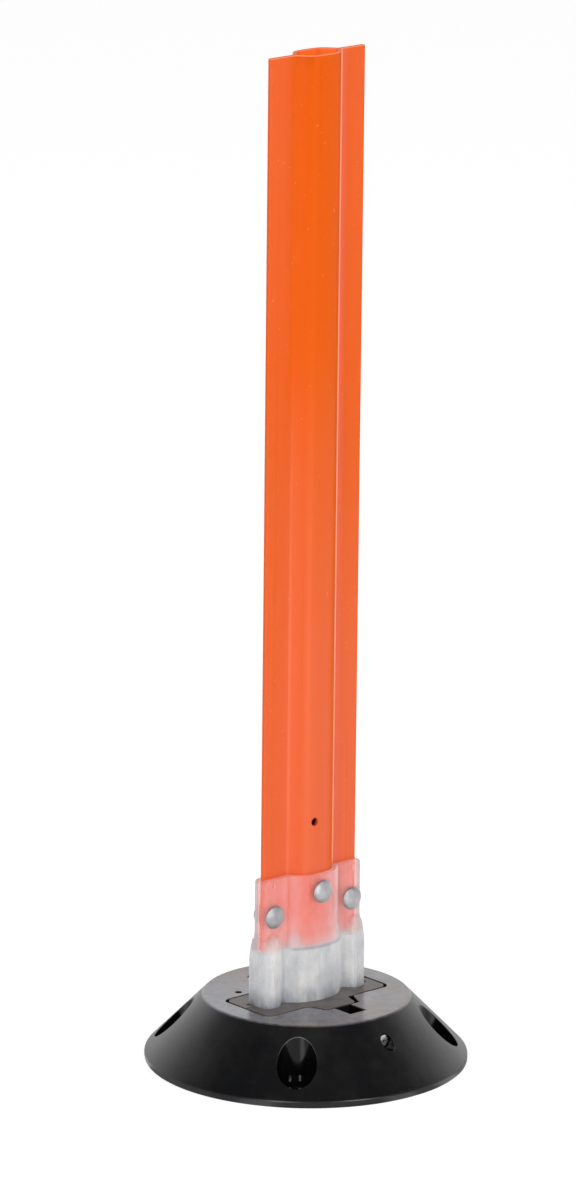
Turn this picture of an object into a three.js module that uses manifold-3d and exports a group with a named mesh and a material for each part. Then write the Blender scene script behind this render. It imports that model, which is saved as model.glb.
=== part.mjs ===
// Delineator post: a flexible channelising post on a surface-mounted base.
//
// Frame: millimetres, +Z up, origin on the ground at the centre of the base.
// +X runs along the wide face of the post and -Y is the side its rivet heads face.
//
// A black moulded base holds a two-part insert. The insert traps the foot of a
// translucent rubber-like boot, and the boot's sleeve is riveted round the foot
// of a hollow extruded post. The boot is the spring that lets the post lie down
// and stand up again.

import * as THREE from 'three';
import { mergeVertices } from 'three/addons/utils/BufferGeometryUtils.js';
import Module from 'manifold-3d';

const wasm = await Module();
wasm.setup();

// ---------------------------------------------------------------- dimensions

const GAP = 0.3; // between neighbours that touch on the real object
const OVERCUT = 1; // how far a cutting tool reaches past the face it cuts

// Base
const BASE_RADIUS = 101.6;
const BASE_TOP_RADIUS = 65;
const BASE_HEIGHT = 42;
const LIP_HEIGHT = 4;
const LIP_ROUND = 1.4;
const TOP_EDGE_ROUND = 0.9;
const GLUE_GROOVE_RADII = [26, 58, 66];
const GLUE_GROOVE_WIDTH = 4;
const GLUE_GROOVE_DEPTH = 1.5;

// Anchor pockets, on the four diagonals
const ANCHOR_CIRCLE_RADIUS = 83;
const ANCHOR_POCKET_RADIUS = 12.5;
const ANCHOR_FLOOR_Z = 9.5;
const ANCHOR_HOLE_RADIUS = 7;

// Locking pins, along Y
const PIN_Z = 29.2;
const PIN_BORE_RADIUS = 4.6;
const PIN_RADIUS = 4.2;
const PIN_WALL = 3;
const PIN_SLOT = 1.2;
const PIN_OUTER_Y = 72.8;
const PIN_INNER_Y = 24.5;

// Wells in the base top, which show the pins beside the insert
const WELL_HALF_WIDTH = 6.75;
const WELL_INNER_Y = 33;
const WELL_OUTER_Y = 49.3;
const WELL_FLOOR_Z = 22;
const VENT_X = -32.1;
const VENT_Y = 28.2;
const VENT_RADIUS = 2;
const VENT_DEPTH = 12;

// Insert
const INSERT_HALF_LENGTH = 49.5;
const INSERT_HALF_WIDTH = 20.8;
const INSERT_CORNER = 6;
const INSERT_GAP = 1.5;
const INSERT_BOTTOM_Z = 8.3;
const TAB_Y = 33;
const TAB_ROOT_HALF_WIDTH = 15.5;
const TAB_TIP_HALF_WIDTH = 13;
const TAB_CORNER = 4;
const TAB_FILLET = 4;
const PRY_SLOT_WIDTH = 2.2;

// Foot of the boot, inside the insert
const FOOT_HALF_LENGTH = 45;
const FOOT_HALF_WIDTH = 16;
const FOOT_CORNER = 4;
const FOOT_BOTTOM_Z = 11.5;
const FOOT_TOP_Z = 22.5;

// Clamp screws through the foot, M5, along Y
const SCREW_X = 6.5;
const SCREW_Z = 17;
const SCREW_RADIUS = 2.4;
const SCREW_HEAD_RADIUS = 4.25;
const SCREW_HEAD_HEIGHT = 5;
const SCREW_SOCKET_RADIUS = 2.3;
const SCREW_SOCKET_DEPTH = 2.5;
const SCREW_SEAT_Y = 25.5;
const SCREW_TIP_Y = 32.2;
const NUT_RADIUS = 4.6;
const NUT_HEIGHT = 4;
const SCREW_WASHER_RADIUS = 5;
const SCREW_WASHER_THICKNESS = 1;
const SCREW_TIP_CHAMFER = 0.4;
const SCREW_HOLE_RADIUS = 2.8;

// Boot
const BOOT_SHOULDER_Z = BASE_HEIGHT + 33.6;
const BOOT_NECK_Z = BASE_HEIGHT + 46.6;
const BOOT_TOP_Z = BASE_HEIGHT + 81.6;
const BLOCK_INNER_X = 28.5;
const BLOCK_OUTER_X = 41.5;
const BLOCK_HALF_WIDTH = 9;
const BLOCK_CORNER = 4.5;
const WEB_HALF_WIDTH = 5;
const LOWER_BULGE_X = 24;
const LOWER_BULGE_Y = 15.6;
const SLEEVE_OUTER_X = 40.5;
const SLEEVE_HALF_WIDTH = 5;
const SLEEVE_CORNER = 2.4;
const SLEEVE_BULGE_X = 21.5;
const SLEEVE_BULGE_Y = 13.8;
const BOOT_CLEARANCE = 0.4;

// Post
const POST_HALF_WIDTH = 38.3;
const POST_FIN_HALF_THICKNESS = 1.5;
const POST_FIN_CORNER = 1;
const POST_TUBE_X = 19.6; // where the slanting sides of the tube would meet
const POST_TUBE_Y = 10.8;
const POST_SHOULDER_X = 11.2;
const POST_SHOULDER_Y = 9.7;
const SHOULDER_ROUND = 0.32; // of the slanting side's length
const POST_WALL = 2;
const POST_BOTTOM_Z = BASE_HEIGHT + 35.4;
const POST_TOP_Z = BASE_HEIGHT + 600;
const POST_HOLE_X = -4;
const POST_HOLE_Z = BASE_HEIGHT + 115.3;
const POST_HOLE_RADIUS = 2.6;

// Rivets, along Y
const RIVET_HEAD_RADIUS = 7.4;
const RIVET_HEAD_HEIGHT = 2.9;
const RIVET_RIM = 0.5;
const RIVET_SHANK_RADIUS = 2.4;
const RIVET_HOLE_RADIUS = 2.7;
const RIVET_TAIL_RADIUS = 3.8;
const RIVET_TAIL_HEIGHT = 1.8;
const SIDE_RIVET_X = 32;
const SIDE_RIVET_Z = BASE_HEIGHT + 57.4;
const CENTRE_RIVET_Z = BASE_HEIGHT + 70.2;
const RIVET_WASHER_RADIUS = 7;
const RIVET_WASHER_THICKNESS = 1.2;

// Fineness of round shapes
const BASE_SEGMENTS = 72;
const BORE_SEGMENTS = 24;
const SMALL_SEGMENTS = 20;
const OVAL_DIVISIONS = 24;
const TUBE_DIVISIONS = 8;
const CORNER_DIVISIONS = 2;
const PLAN_CORNER_DIVISIONS = 4;
const PIN_DIVISIONS = 14;
const RIVET_DOME_STEPS = 4;
const EDGE_STEPS = 3;

// ------------------------------------------------------------------- helpers

const FRONT = -1;
const REAR = 1;
const LEFT = -1;
const RIGHT = 1;

// A closed three.js geometry as a solid that can be joined and cut.
function toSolid(geometry) {
  const bare = geometry.clone();
  bare.deleteAttribute('normal');
  bare.deleteAttribute('uv');
  const welded = mergeVertices(bare);
  const mesh = new wasm.Mesh({
    numProp: 3,
    vertProperties: welded.attributes.position.array,
    triVerts: welded.index.array,
  });
  return new wasm.Manifold(mesh);
}

// A solid back as a three.js geometry.
function toGeometry(solid) {
  const mesh = solid.getMesh();
  const geometry = new THREE.BufferGeometry();
  geometry.setAttribute('position', new THREE.BufferAttribute(mesh.vertProperties, 3));
  geometry.setIndex(new THREE.BufferAttribute(mesh.triVerts, 1));
  geometry.computeVertexNormals();
  return geometry;
}

function namedMesh(name, geometry, material) {
  const mesh = new THREE.Mesh(geometry, material);
  mesh.name = name;
  return mesh;
}

// A rectangle with rounded corners, from (x0, y0) to (x1, y1).
function roundedRectangle(x0, y0, x1, y1, radius) {
  const shape = new THREE.Shape();
  shape.moveTo(x0 + radius, y0);
  shape.lineTo(x1 - radius, y0);
  shape.absarc(x1 - radius, y0 + radius, radius, -Math.PI / 2, 0, false);
  shape.lineTo(x1, y1 - radius);
  shape.absarc(x1 - radius, y1 - radius, radius, 0, Math.PI / 2, false);
  shape.lineTo(x0 + radius, y1);
  shape.absarc(x0 + radius, y1 - radius, radius, Math.PI / 2, Math.PI, false);
  shape.lineTo(x0, y0 + radius);
  shape.absarc(x0 + radius, y0 + radius, radius, Math.PI, Math.PI * 1.5, false);
  return shape;
}

function ellipse(radiusX, radiusY) {
  const shape = new THREE.Shape();
  shape.absellipse(0, 0, radiusX, radiusY, 0, Math.PI * 2, false, 0);
  return shape;
}

// An upright prism of a shape from z0 to z1.
function uprightPrism(shape, z0, z1, curveSegments) {
  const geometry = new THREE.ExtrudeGeometry(shape, {
    depth: z1 - z0,
    bevelEnabled: false,
    curveSegments,
  });
  geometry.translate(0, 0, z0);
  return toSolid(geometry);
}

// An upright prism whose top ring is carried in to another size by a rule for each point.
function taperedPrism(shape, z0, z1, curveSegments, atTop) {
  const geometry = new THREE.ExtrudeGeometry(shape, {
    depth: z1 - z0,
    bevelEnabled: false,
    curveSegments,
  });
  const position = geometry.attributes.position;
  for (let i = 0; i < position.count; i += 1) {
    if (position.getZ(i) > 0) {
      const [x, y] = atTop(position.getX(i), position.getY(i));
      position.setXY(i, x, y);
    }
  }
  geometry.translate(0, 0, z0);
  return toSolid(geometry);
}

// A round bar along Y, from y0 to y1.
function barAlongY(radius, x, z, y0, y1, segments) {
  const geometry = new THREE.CylinderGeometry(radius, radius, y1 - y0, segments);
  geometry.translate(x, (y0 + y1) / 2, z);
  return toSolid(geometry);
}

// A round bar along Z, from z0 to z1.
function barAlongZ(radius, x, y, z0, z1, segments) {
  const geometry = new THREE.CylinderGeometry(radius, radius, z1 - z0, segments);
  geometry.rotateX(Math.PI / 2);
  geometry.translate(x, y, (z0 + z1) / 2);
  return toSolid(geometry);
}

// A body turned about the upright axis, from a profile of [radius, height] points.
function turned(points, segments) {
  const profile = points.map(([radius, height]) => new THREE.Vector2(radius, height));
  return new THREE.LatheGeometry(profile, segments);
}

// Points along a quarter of an ellipse, from angle a0 to a1.
function arcPoints(centreX, centreY, radiusX, radiusY, a0, a1, count) {
  const points = [];
  for (let i = 0; i <= count; i += 1) {
    const angle = a0 + ((a1 - a0) * i) / count;
    points.push([centreX + radiusX * Math.cos(angle), centreY + radiusY * Math.sin(angle)]);
  }
  return points;
}

// ----------------------------------------------------------------- materials

const blackPlastic = () => new THREE.MeshStandardMaterial({ color: 0x1c1d20, roughness: 0.5 });
const greyPlastic = () => new THREE.MeshStandardMaterial({ color: 0x5d5a56, roughness: 0.6 });
const clearRubber = () => new THREE.MeshStandardMaterial({ color: 0xcfd2d4, roughness: 0.35 });
const orangePlastic = () => new THREE.MeshStandardMaterial({ color: 0xf0642a, roughness: 0.4 });
const aluminium = () => new THREE.MeshStandardMaterial({
  color: 0xb9bbbd,
  roughness: 0.35,
  metalness: 0.9,
});
const zincSteel = () => new THREE.MeshStandardMaterial({
  color: 0x9a9c9e,
  roughness: 0.45,
  metalness: 0.9,
});

// ---------------------------------------------------------------------- base

// The turned blank: a cone with a short rounded lip, and glue grooves underneath.
function baseBlank() {
  const slope = Math.atan2(BASE_HEIGHT - LIP_HEIGHT, BASE_RADIUS - BASE_TOP_RADIUS);
  const profile = [[0, 0]];
  for (const radius of GLUE_GROOVE_RADII) {
    profile.push([radius, 0]);
    profile.push([radius, GLUE_GROOVE_DEPTH]);
    profile.push([radius + GLUE_GROOVE_WIDTH, GLUE_GROOVE_DEPTH]);
    profile.push([radius + GLUE_GROOVE_WIDTH, 0]);
  }
  const lipCentre = BASE_RADIUS - LIP_ROUND;
  profile.push(...arcPoints(lipCentre, LIP_ROUND, LIP_ROUND, LIP_ROUND, -Math.PI / 2, 0, EDGE_STEPS));
  profile.push([BASE_RADIUS, LIP_HEIGHT]);
  const edgeX = BASE_TOP_RADIUS - TOP_EDGE_ROUND * Math.tan(slope / 2);
  const edgeY = BASE_HEIGHT - TOP_EDGE_ROUND;
  const edgeStart = Math.PI / 2 - slope;
  profile.push(
    ...arcPoints(edgeX, edgeY, TOP_EDGE_ROUND, TOP_EDGE_ROUND, edgeStart, Math.PI / 2, EDGE_STEPS),
  );
  profile.push([0, BASE_HEIGHT]);
  const geometry = turned(profile, BASE_SEGMENTS);
  geometry.rotateX(Math.PI / 2);
  return toSolid(geometry);
}

// The plan of the insert, grown by an allowance, with a wider slot beside each tab for prying.
function insertPlan(grow, prySlot) {
  const end = INSERT_HALF_LENGTH + grow;
  const side = INSERT_HALF_WIDTH + grow;
  const tabTip = TAB_Y + grow;
  const tabRoot = TAB_ROOT_HALF_WIDTH + grow;
  const tabEnd = TAB_TIP_HALF_WIDTH + grow;
  const round = INSERT_CORNER;
  const taper = (tabRoot - tabEnd) / (tabTip - side);
  const shape = new THREE.Shape();
  shape.moveTo(-end, -side + round);
  // The rear half of the outline is the front half, turned half a turn about the centre.
  for (const turn of [1, -1]) {
    const go = (x, y) => shape.lineTo(turn * x, turn * y);
    const bend = (cornerX, cornerY, x, y) => {
      shape.quadraticCurveTo(turn * cornerX, turn * cornerY, turn * x, turn * y);
    };
    bend(-end, -side, -end + round, -side);
    go(-tabRoot - TAB_FILLET, -side);
    bend(-tabRoot, -side, -tabRoot + taper * TAB_FILLET, -side - TAB_FILLET);
    go(-tabEnd, -tabTip + TAB_CORNER);
    bend(-tabEnd, -tabTip, -tabEnd + TAB_CORNER, -tabTip);
    go(tabEnd - TAB_CORNER, -tabTip);
    bend(tabEnd + prySlot / 2, -tabTip, tabEnd + prySlot / 2, -tabTip + TAB_CORNER);
    go(tabRoot + prySlot, -side);
    go(end - round, -side);
    bend(end, -side, end, -side + round);
    go(end, side - round);
  }
  return shape;
}

function anchorCentres() {
  return [45, 135, 225, 315].map((degrees) => {
    const angle = THREE.MathUtils.degToRad(degrees);
    return [ANCHOR_CIRCLE_RADIUS * Math.cos(angle), ANCHOR_CIRCLE_RADIUS * Math.sin(angle)];
  });
}

function makeBase() {
  const above = BASE_HEIGHT + OVERCUT;
  let solid = baseBlank();
  solid = solid.subtract(
    uprightPrism(
      insertPlan(INSERT_GAP, PRY_SLOT_WIDTH),
      INSERT_BOTTOM_Z - GAP,
      above,
      PLAN_CORNER_DIVISIONS,
    ),
  );
  for (const [x, y] of anchorCentres()) {
    const pocket = barAlongZ(ANCHOR_POCKET_RADIUS, x, y, ANCHOR_FLOOR_Z, above, BORE_SEGMENTS);
    const holeTop = ANCHOR_FLOOR_Z + OVERCUT;
    const hole = barAlongZ(ANCHOR_HOLE_RADIUS, x, y, -OVERCUT, holeTop, BORE_SEGMENTS);
    solid = solid.subtract(pocket).subtract(hole);
  }
  for (const side of [FRONT, REAR]) {
    const inner = side * (TAB_Y - OVERCUT);
    const outer = side * (BASE_RADIUS + OVERCUT);
    const bore = barAlongY(
      PIN_BORE_RADIUS,
      0,
      PIN_Z,
      Math.min(inner, outer),
      Math.max(inner, outer),
      BORE_SEGMENTS,
    );
    const wellDepth = WELL_OUTER_Y - WELL_INNER_Y + INSERT_GAP;
    const well = new THREE.BoxGeometry(WELL_HALF_WIDTH * 2, wellDepth, above - WELL_FLOOR_Z);
    well.translate(
      0,
      side * (WELL_OUTER_Y - wellDepth / 2),
      (above + WELL_FLOOR_Z) / 2,
    );
    solid = solid.subtract(bore).subtract(toSolid(well));
  }
  const vent = barAlongZ(VENT_RADIUS, VENT_X, VENT_Y, BASE_HEIGHT - VENT_DEPTH, above, SMALL_SEGMENTS);
  return namedMesh('base_body', toGeometry(solid.subtract(vent)), blackPlastic());
}

// ---------------------------------------------------------------------- boot

// The moulded section from a thick foot to a thin sleeve, as upright pieces that overlap.
function bootLowerBody(z0, z1, grow) {
  const block = roundedRectangle(
    BLOCK_INNER_X - grow,
    -BLOCK_HALF_WIDTH - grow,
    BLOCK_OUTER_X + grow,
    BLOCK_HALF_WIDTH + grow,
    BLOCK_CORNER,
  );
  const web = roundedRectangle(
    -BLOCK_INNER_X - BLOCK_CORNER,
    -WEB_HALF_WIDTH - grow,
    BLOCK_INNER_X + BLOCK_CORNER,
    WEB_HALF_WIDTH + grow,
    OVERCUT,
  );
  const bulge = ellipse(LOWER_BULGE_X + grow, LOWER_BULGE_Y + grow);
  const right = uprightPrism(block, z0, z1, CORNER_DIVISIONS);
  return uprightPrism(web, z0, z1, CORNER_DIVISIONS)
    .add(uprightPrism(bulge, z0, z1, OVAL_DIVISIONS))
    .add(right)
    .add(right.rotate([0, 0, 180]));
}

// The shoulder, where the thick lower body draws in to the sleeve.
function bootShoulder() {
  const block = roundedRectangle(
    BLOCK_INNER_X,
    -BLOCK_HALF_WIDTH,
    BLOCK_OUTER_X,
    BLOCK_HALF_WIDTH,
    BLOCK_CORNER,
  );
  const bulge = ellipse(LOWER_BULGE_X, LOWER_BULGE_Y);
  const drawIn = (x, y) => [
    x * (SLEEVE_OUTER_X / BLOCK_OUTER_X),
    y * (SLEEVE_HALF_WIDTH / BLOCK_HALF_WIDTH),
  ];
  const drawBulge = (x, y) => [
    x * (SLEEVE_BULGE_X / LOWER_BULGE_X),
    y * (SLEEVE_BULGE_Y / LOWER_BULGE_Y),
  ];
  const right = taperedPrism(block, BOOT_SHOULDER_Z, BOOT_NECK_Z, CORNER_DIVISIONS, drawIn);
  return taperedPrism(bulge, BOOT_SHOULDER_Z, BOOT_NECK_Z, OVAL_DIVISIONS, drawBulge)
    .add(right)
    .add(right.rotate([0, 0, 180]));
}

function bootSleeve() {
  const fins = roundedRectangle(
    -SLEEVE_OUTER_X,
    -SLEEVE_HALF_WIDTH,
    SLEEVE_OUTER_X,
    SLEEVE_HALF_WIDTH,
    SLEEVE_CORNER,
  );
  const bulge = ellipse(SLEEVE_BULGE_X, SLEEVE_BULGE_Y);
  return uprightPrism(fins, BOOT_SHOULDER_Z, BOOT_TOP_Z, CORNER_DIVISIONS)
    .add(uprightPrism(bulge, BOOT_SHOULDER_Z, BOOT_TOP_Z, OVAL_DIVISIONS));
}

function footBlock(grow) {
  const plan = roundedRectangle(
    -FOOT_HALF_LENGTH - grow,
    -FOOT_HALF_WIDTH - grow,
    FOOT_HALF_LENGTH + grow,
    FOOT_HALF_WIDTH + grow,
    FOOT_CORNER,
  );
  return uprightPrism(plan, FOOT_BOTTOM_Z - grow, FOOT_TOP_Z + grow, CORNER_DIVISIONS);
}

// The post's tube in plan, grown by an allowance: a crowned front and back, and slanting sides.
function tubePlan(grow) {
  const sideX = POST_TUBE_X - POST_SHOULDER_X;
  const slant = Math.hypot(sideX, POST_SHOULDER_Y);
  const tip = POST_TUBE_X + (grow * slant) / POST_SHOULDER_Y;
  const crown = POST_TUBE_Y + grow;
  const shoulderX = POST_SHOULDER_X + grow / 2;
  const shoulderY = POST_SHOULDER_Y + grow;
  const startX = shoulderX + (tip - shoulderX) * SHOULDER_ROUND;
  const startY = shoulderY * (1 - SHOULDER_ROUND);
  const endX = shoulderX * (1 - SHOULDER_ROUND);
  const endY = shoulderY + (crown - shoulderY) * SHOULDER_ROUND;
  const shape = new THREE.Shape();
  shape.moveTo(-tip, 0);
  for (const turn of [1, -1]) {
    const bend = (cornerX, cornerY, x, y) => {
      shape.quadraticCurveTo(turn * cornerX, turn * cornerY, turn * x, turn * y);
    };
    shape.lineTo(turn * -startX, turn * -startY);
    bend(-shoulderX, -shoulderY, -endX, -endY);
    bend(0, -2 * crown + endY, endX, -endY);
    bend(shoulderX, -shoulderY, startX, -startY);
    shape.lineTo(turn * tip, 0);
  }
  return shape;
}

// The outer form of the post, grown by an allowance.
function postForm(grow, z0, z1) {
  const fins = roundedRectangle(
    -POST_HALF_WIDTH - grow,
    -POST_FIN_HALF_THICKNESS - grow,
    POST_HALF_WIDTH + grow,
    POST_FIN_HALF_THICKNESS + grow,
    POST_FIN_CORNER,
  );
  return uprightPrism(fins, z0, z1, CORNER_DIVISIONS)
    .add(uprightPrism(tubePlan(grow), z0, z1, TUBE_DIVISIONS));
}

// Holes for the side rivets and the two centre rivets, through everything in their way.
function rivetHoles() {
  const reach = LOWER_BULGE_Y + OVERCUT;
  const side = (x) => barAlongY(RIVET_HOLE_RADIUS, x, SIDE_RIVET_Z, -reach, reach, SMALL_SEGMENTS);
  return side(-SIDE_RIVET_X)
    .add(side(SIDE_RIVET_X))
    .add(barAlongY(RIVET_HOLE_RADIUS, 0, CENTRE_RIVET_Z, -reach, reach, SMALL_SEGMENTS));
}

function screwHoles(radius) {
  const reach = TAB_Y + OVERCUT;
  const hole = (x) => barAlongY(radius, x, SCREW_Z, -reach, reach, SMALL_SEGMENTS);
  return hole(-SCREW_X).add(hole(SCREW_X));
}

function makeBoot() {
  const solid = footBlock(0)
    .add(bootLowerBody(FOOT_TOP_Z - OVERCUT, BOOT_SHOULDER_Z, 0))
    .add(bootShoulder())
    .add(bootSleeve())
    .subtract(postForm(GAP, POST_BOTTOM_Z - GAP, BOOT_TOP_Z + OVERCUT))
    .subtract(rivetHoles())
    .subtract(screwHoles(SCREW_HOLE_RADIUS));
  return namedMesh('hinge_boot', toGeometry(solid), clearRubber());
}

// -------------------------------------------------------------------- insert

// One half of the insert: the whole form cut along the seam, hollowed for the foot.
function makeInsertHalf(name, side) {
  const wide = INSERT_HALF_LENGTH + OVERCUT;
  const deep = TAB_Y + OVERCUT;
  const keep = new THREE.BoxGeometry(wide * 2, deep, BASE_HEIGHT * 2);
  keep.translate(0, side * (deep / 2 + GAP / 2), BASE_HEIGHT / 2);
  let solid = uprightPrism(insertPlan(0, 0), INSERT_BOTTOM_Z, BASE_HEIGHT, PLAN_CORNER_DIVISIONS)
    .intersect(toSolid(keep))
    .subtract(footBlock(BOOT_CLEARANCE))
    .subtract(bootLowerBody(FOOT_TOP_Z, BASE_HEIGHT + OVERCUT, BOOT_CLEARANCE))
    .subtract(screwHoles(SCREW_HOLE_RADIUS));
  const pinStart = side * (PIN_INNER_Y - GAP);
  const pinEnd = side * (TAB_Y + OVERCUT);
  solid = solid.subtract(
    barAlongY(
      PIN_BORE_RADIUS,
      0,
      PIN_Z,
      Math.min(pinStart, pinEnd),
      Math.max(pinStart, pinEnd),
      BORE_SEGMENTS,
    ),
  );
  const seatRadius = side === FRONT ? SCREW_HEAD_RADIUS + GAP : SCREW_WASHER_RADIUS + GAP;
  const seat = side * SCREW_SEAT_Y;
  for (const x of [-SCREW_X, SCREW_X]) {
    const counterbore = barAlongY(
      seatRadius,
      x,
      SCREW_Z,
      Math.min(seat, pinEnd),
      Math.max(seat, pinEnd),
      SMALL_SEGMENTS,
    );
    solid = solid.subtract(counterbore);
  }
  return namedMesh(name, toGeometry(solid), greyPlastic());
}

// ------------------------------------------------------- screws, nuts, washers

// A socket-head screw with its head at the front and its tip at the rear.
function makeScrew(name, side) {
  const headY = SCREW_SEAT_Y + GAP;
  const profile = [
    [0, -SCREW_TIP_Y],
    [SCREW_RADIUS - SCREW_TIP_CHAMFER, -SCREW_TIP_Y],
    [SCREW_RADIUS, -SCREW_TIP_Y + SCREW_TIP_CHAMFER],
    [SCREW_RADIUS, headY],
    [SCREW_HEAD_RADIUS, headY],
    [SCREW_HEAD_RADIUS, headY + SCREW_HEAD_HEIGHT],
    [0, headY + SCREW_HEAD_HEIGHT],
  ];
  const socket = new THREE.CylinderGeometry(
    SCREW_SOCKET_RADIUS,
    SCREW_SOCKET_RADIUS,
    SCREW_SOCKET_DEPTH + OVERCUT,
    6,
  );
  socket.translate(0, headY + SCREW_HEAD_HEIGHT - SCREW_SOCKET_DEPTH / 2 + OVERCUT / 2, 0);
  const solid = toSolid(turned(profile, SMALL_SEGMENTS)).subtract(toSolid(socket));
  const mesh = namedMesh(name, toGeometry(solid), zincSteel());
  mesh.position.set(side * SCREW_X, 0, SCREW_Z);
  mesh.rotation.x = Math.PI;
  return mesh;
}

// A ring along Y, from y0 to y1, centred on the mesh's own origin.
function ringGeometry(innerRadius, outerRadius, y0, y1) {
  const profile = [
    [innerRadius, y0],
    [outerRadius, y0],
    [outerRadius, y1],
    [innerRadius, y1],
    [innerRadius, y0],
  ];
  return turned(profile, SMALL_SEGMENTS);
}

function makeScrewWasher(name, side) {
  const y0 = SCREW_SEAT_Y + GAP;
  const inner = SCREW_RADIUS + GAP;
  const ring = ringGeometry(inner, SCREW_WASHER_RADIUS, y0, y0 + SCREW_WASHER_THICKNESS);
  const mesh = namedMesh(name, toGeometry(toSolid(ring)), zincSteel());
  mesh.position.set(side * SCREW_X, 0, SCREW_Z);
  return mesh;
}

function makeNut(name, side) {
  const hexagon = new THREE.Shape();
  for (let corner = 0; corner < 6; corner += 1) {
    const angle = (corner * Math.PI) / 3;
    const x = NUT_RADIUS * Math.cos(angle);
    const y = NUT_RADIUS * Math.sin(angle);
    if (corner === 0) {
      hexagon.moveTo(x, y);
    } else {
      hexagon.lineTo(x, y);
    }
  }
  const hole = new THREE.Path();
  hole.absarc(0, 0, SCREW_RADIUS + GAP, 0, Math.PI * 2, true);
  hexagon.holes.push(hole);
  const geometry = new THREE.ExtrudeGeometry(hexagon, {
    depth: NUT_HEIGHT,
    bevelEnabled: false,
    curveSegments: SMALL_SEGMENTS / 2,
  });
  geometry.rotateX(-Math.PI / 2);
  const mesh = namedMesh(name, toGeometry(toSolid(geometry)), zincSteel());
  const seat = SCREW_SEAT_Y + GAP + SCREW_WASHER_THICKNESS + GAP;
  mesh.position.set(side * SCREW_X, seat, SCREW_Z);
  return mesh;
}

// A rolled spring pin: a tube slit along its length.
function makeLockingPin(name, side) {
  const halfSlit = Math.asin(PIN_SLOT / 2 / PIN_RADIUS);
  const inner = PIN_RADIUS - PIN_WALL;
  const halfSlitInside = Math.asin(PIN_SLOT / 2 / inner);
  const shape = new THREE.Shape();
  shape.absarc(0, 0, PIN_RADIUS, halfSlit, Math.PI * 2 - halfSlit, false);
  shape.absarc(0, 0, inner, Math.PI * 2 - halfSlitInside, halfSlitInside, true);
  const geometry = new THREE.ExtrudeGeometry(shape, {
    depth: PIN_OUTER_Y - PIN_INNER_Y,
    bevelEnabled: false,
    curveSegments: PIN_DIVISIONS,
  });
  geometry.rotateX(Math.PI / 2);
  const mesh = namedMesh(name, toGeometry(toSolid(geometry)), zincSteel());
  mesh.position.set(0, side === FRONT ? -PIN_INNER_Y : PIN_OUTER_Y, PIN_Z);
  return mesh;
}

// ---------------------------------------------------------------------- post

function makePost() {
  const bore = uprightPrism(
    tubePlan(-POST_WALL),
    POST_BOTTOM_Z - OVERCUT,
    POST_TOP_Z + OVERCUT,
    TUBE_DIVISIONS,
  );
  const sightHole = barAlongY(
    POST_HOLE_RADIUS,
    POST_HOLE_X,
    POST_HOLE_Z,
    -POST_TUBE_Y - OVERCUT,
    0,
    SMALL_SEGMENTS,
  );
  const solid = postForm(0, POST_BOTTOM_Z, POST_TOP_Z)
    .subtract(bore)
    .subtract(sightHole)
    .subtract(rivetHoles());
  return namedMesh('post', toGeometry(solid), orangePlastic());
}

// -------------------------------------------------------------------- rivets

// A domed rivet whose head sits at headY and whose formed tail ends at tailY.
function rivetGeometry(headY, tailY) {
  const dome = arcPoints(
    0,
    headY + RIVET_RIM,
    RIVET_HEAD_RADIUS,
    RIVET_HEAD_HEIGHT - RIVET_RIM,
    0,
    Math.PI / 2,
    RIVET_DOME_STEPS,
  );
  dome[dome.length - 1][0] = 0;
  const profile = [
    [0, tailY],
    [RIVET_TAIL_RADIUS, tailY],
    [RIVET_TAIL_RADIUS, tailY + RIVET_TAIL_HEIGHT],
    [RIVET_SHANK_RADIUS, tailY + RIVET_TAIL_HEIGHT],
    [RIVET_SHANK_RADIUS, headY],
    [RIVET_HEAD_RADIUS, headY],
    ...dome,
  ];
  return toGeometry(toSolid(turned(profile, SMALL_SEGMENTS)));
}

// A side rivet goes through both walls of the sleeve and the fin, with its head at the front.
function makeSideRivet(name, side) {
  const headY = SLEEVE_HALF_WIDTH + GAP;
  const washerTop = -(SLEEVE_HALF_WIDTH + GAP + RIVET_WASHER_THICKNESS);
  const tailY = washerTop - GAP - RIVET_TAIL_HEIGHT;
  const mesh = namedMesh(name, rivetGeometry(headY, tailY), aluminium());
  mesh.position.set(side * SIDE_RIVET_X, 0, SIDE_RIVET_Z);
  mesh.rotation.x = Math.PI;
  return mesh;
}

function makeRivetWasher(name, side) {
  const y0 = SLEEVE_HALF_WIDTH + GAP;
  const inner = RIVET_SHANK_RADIUS + GAP;
  const ring = ringGeometry(inner, RIVET_WASHER_RADIUS, y0, y0 + RIVET_WASHER_THICKNESS);
  const mesh = namedMesh(name, toGeometry(toSolid(ring)), aluminium());
  mesh.position.set(side * SIDE_RIVET_X, 0, SIDE_RIVET_Z);
  return mesh;
}

// A centre rivet fastens one wall of the sleeve to one wall of the tube.
function makeCentreRivet(name, side) {
  const headY = SLEEVE_BULGE_Y + GAP;
  const tailY = POST_TUBE_Y - POST_WALL - GAP - RIVET_TAIL_HEIGHT;
  const mesh = namedMesh(name, rivetGeometry(headY, tailY), aluminium());
  mesh.position.set(0, 0, CENTRE_RIVET_Z);
  mesh.rotation.x = side === FRONT ? Math.PI : 0;
  return mesh;
}

// ------------------------------------------------------------------ assembly

const baseGroup = new THREE.Group();
baseGroup.add(
  makeBase(),
  makeInsertHalf('insert_front_half', FRONT),
  makeInsertHalf('insert_rear_half', REAR),
  makeScrew('foot_screw_left', LEFT),
  makeScrew('foot_screw_right', RIGHT),
  makeScrewWasher('foot_washer_left', LEFT),
  makeScrewWasher('foot_washer_right', RIGHT),
  makeNut('foot_nut_left', LEFT),
  makeNut('foot_nut_right', RIGHT),
  makeLockingPin('locking_pin_front', FRONT),
  makeLockingPin('locking_pin_rear', REAR),
);

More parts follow.
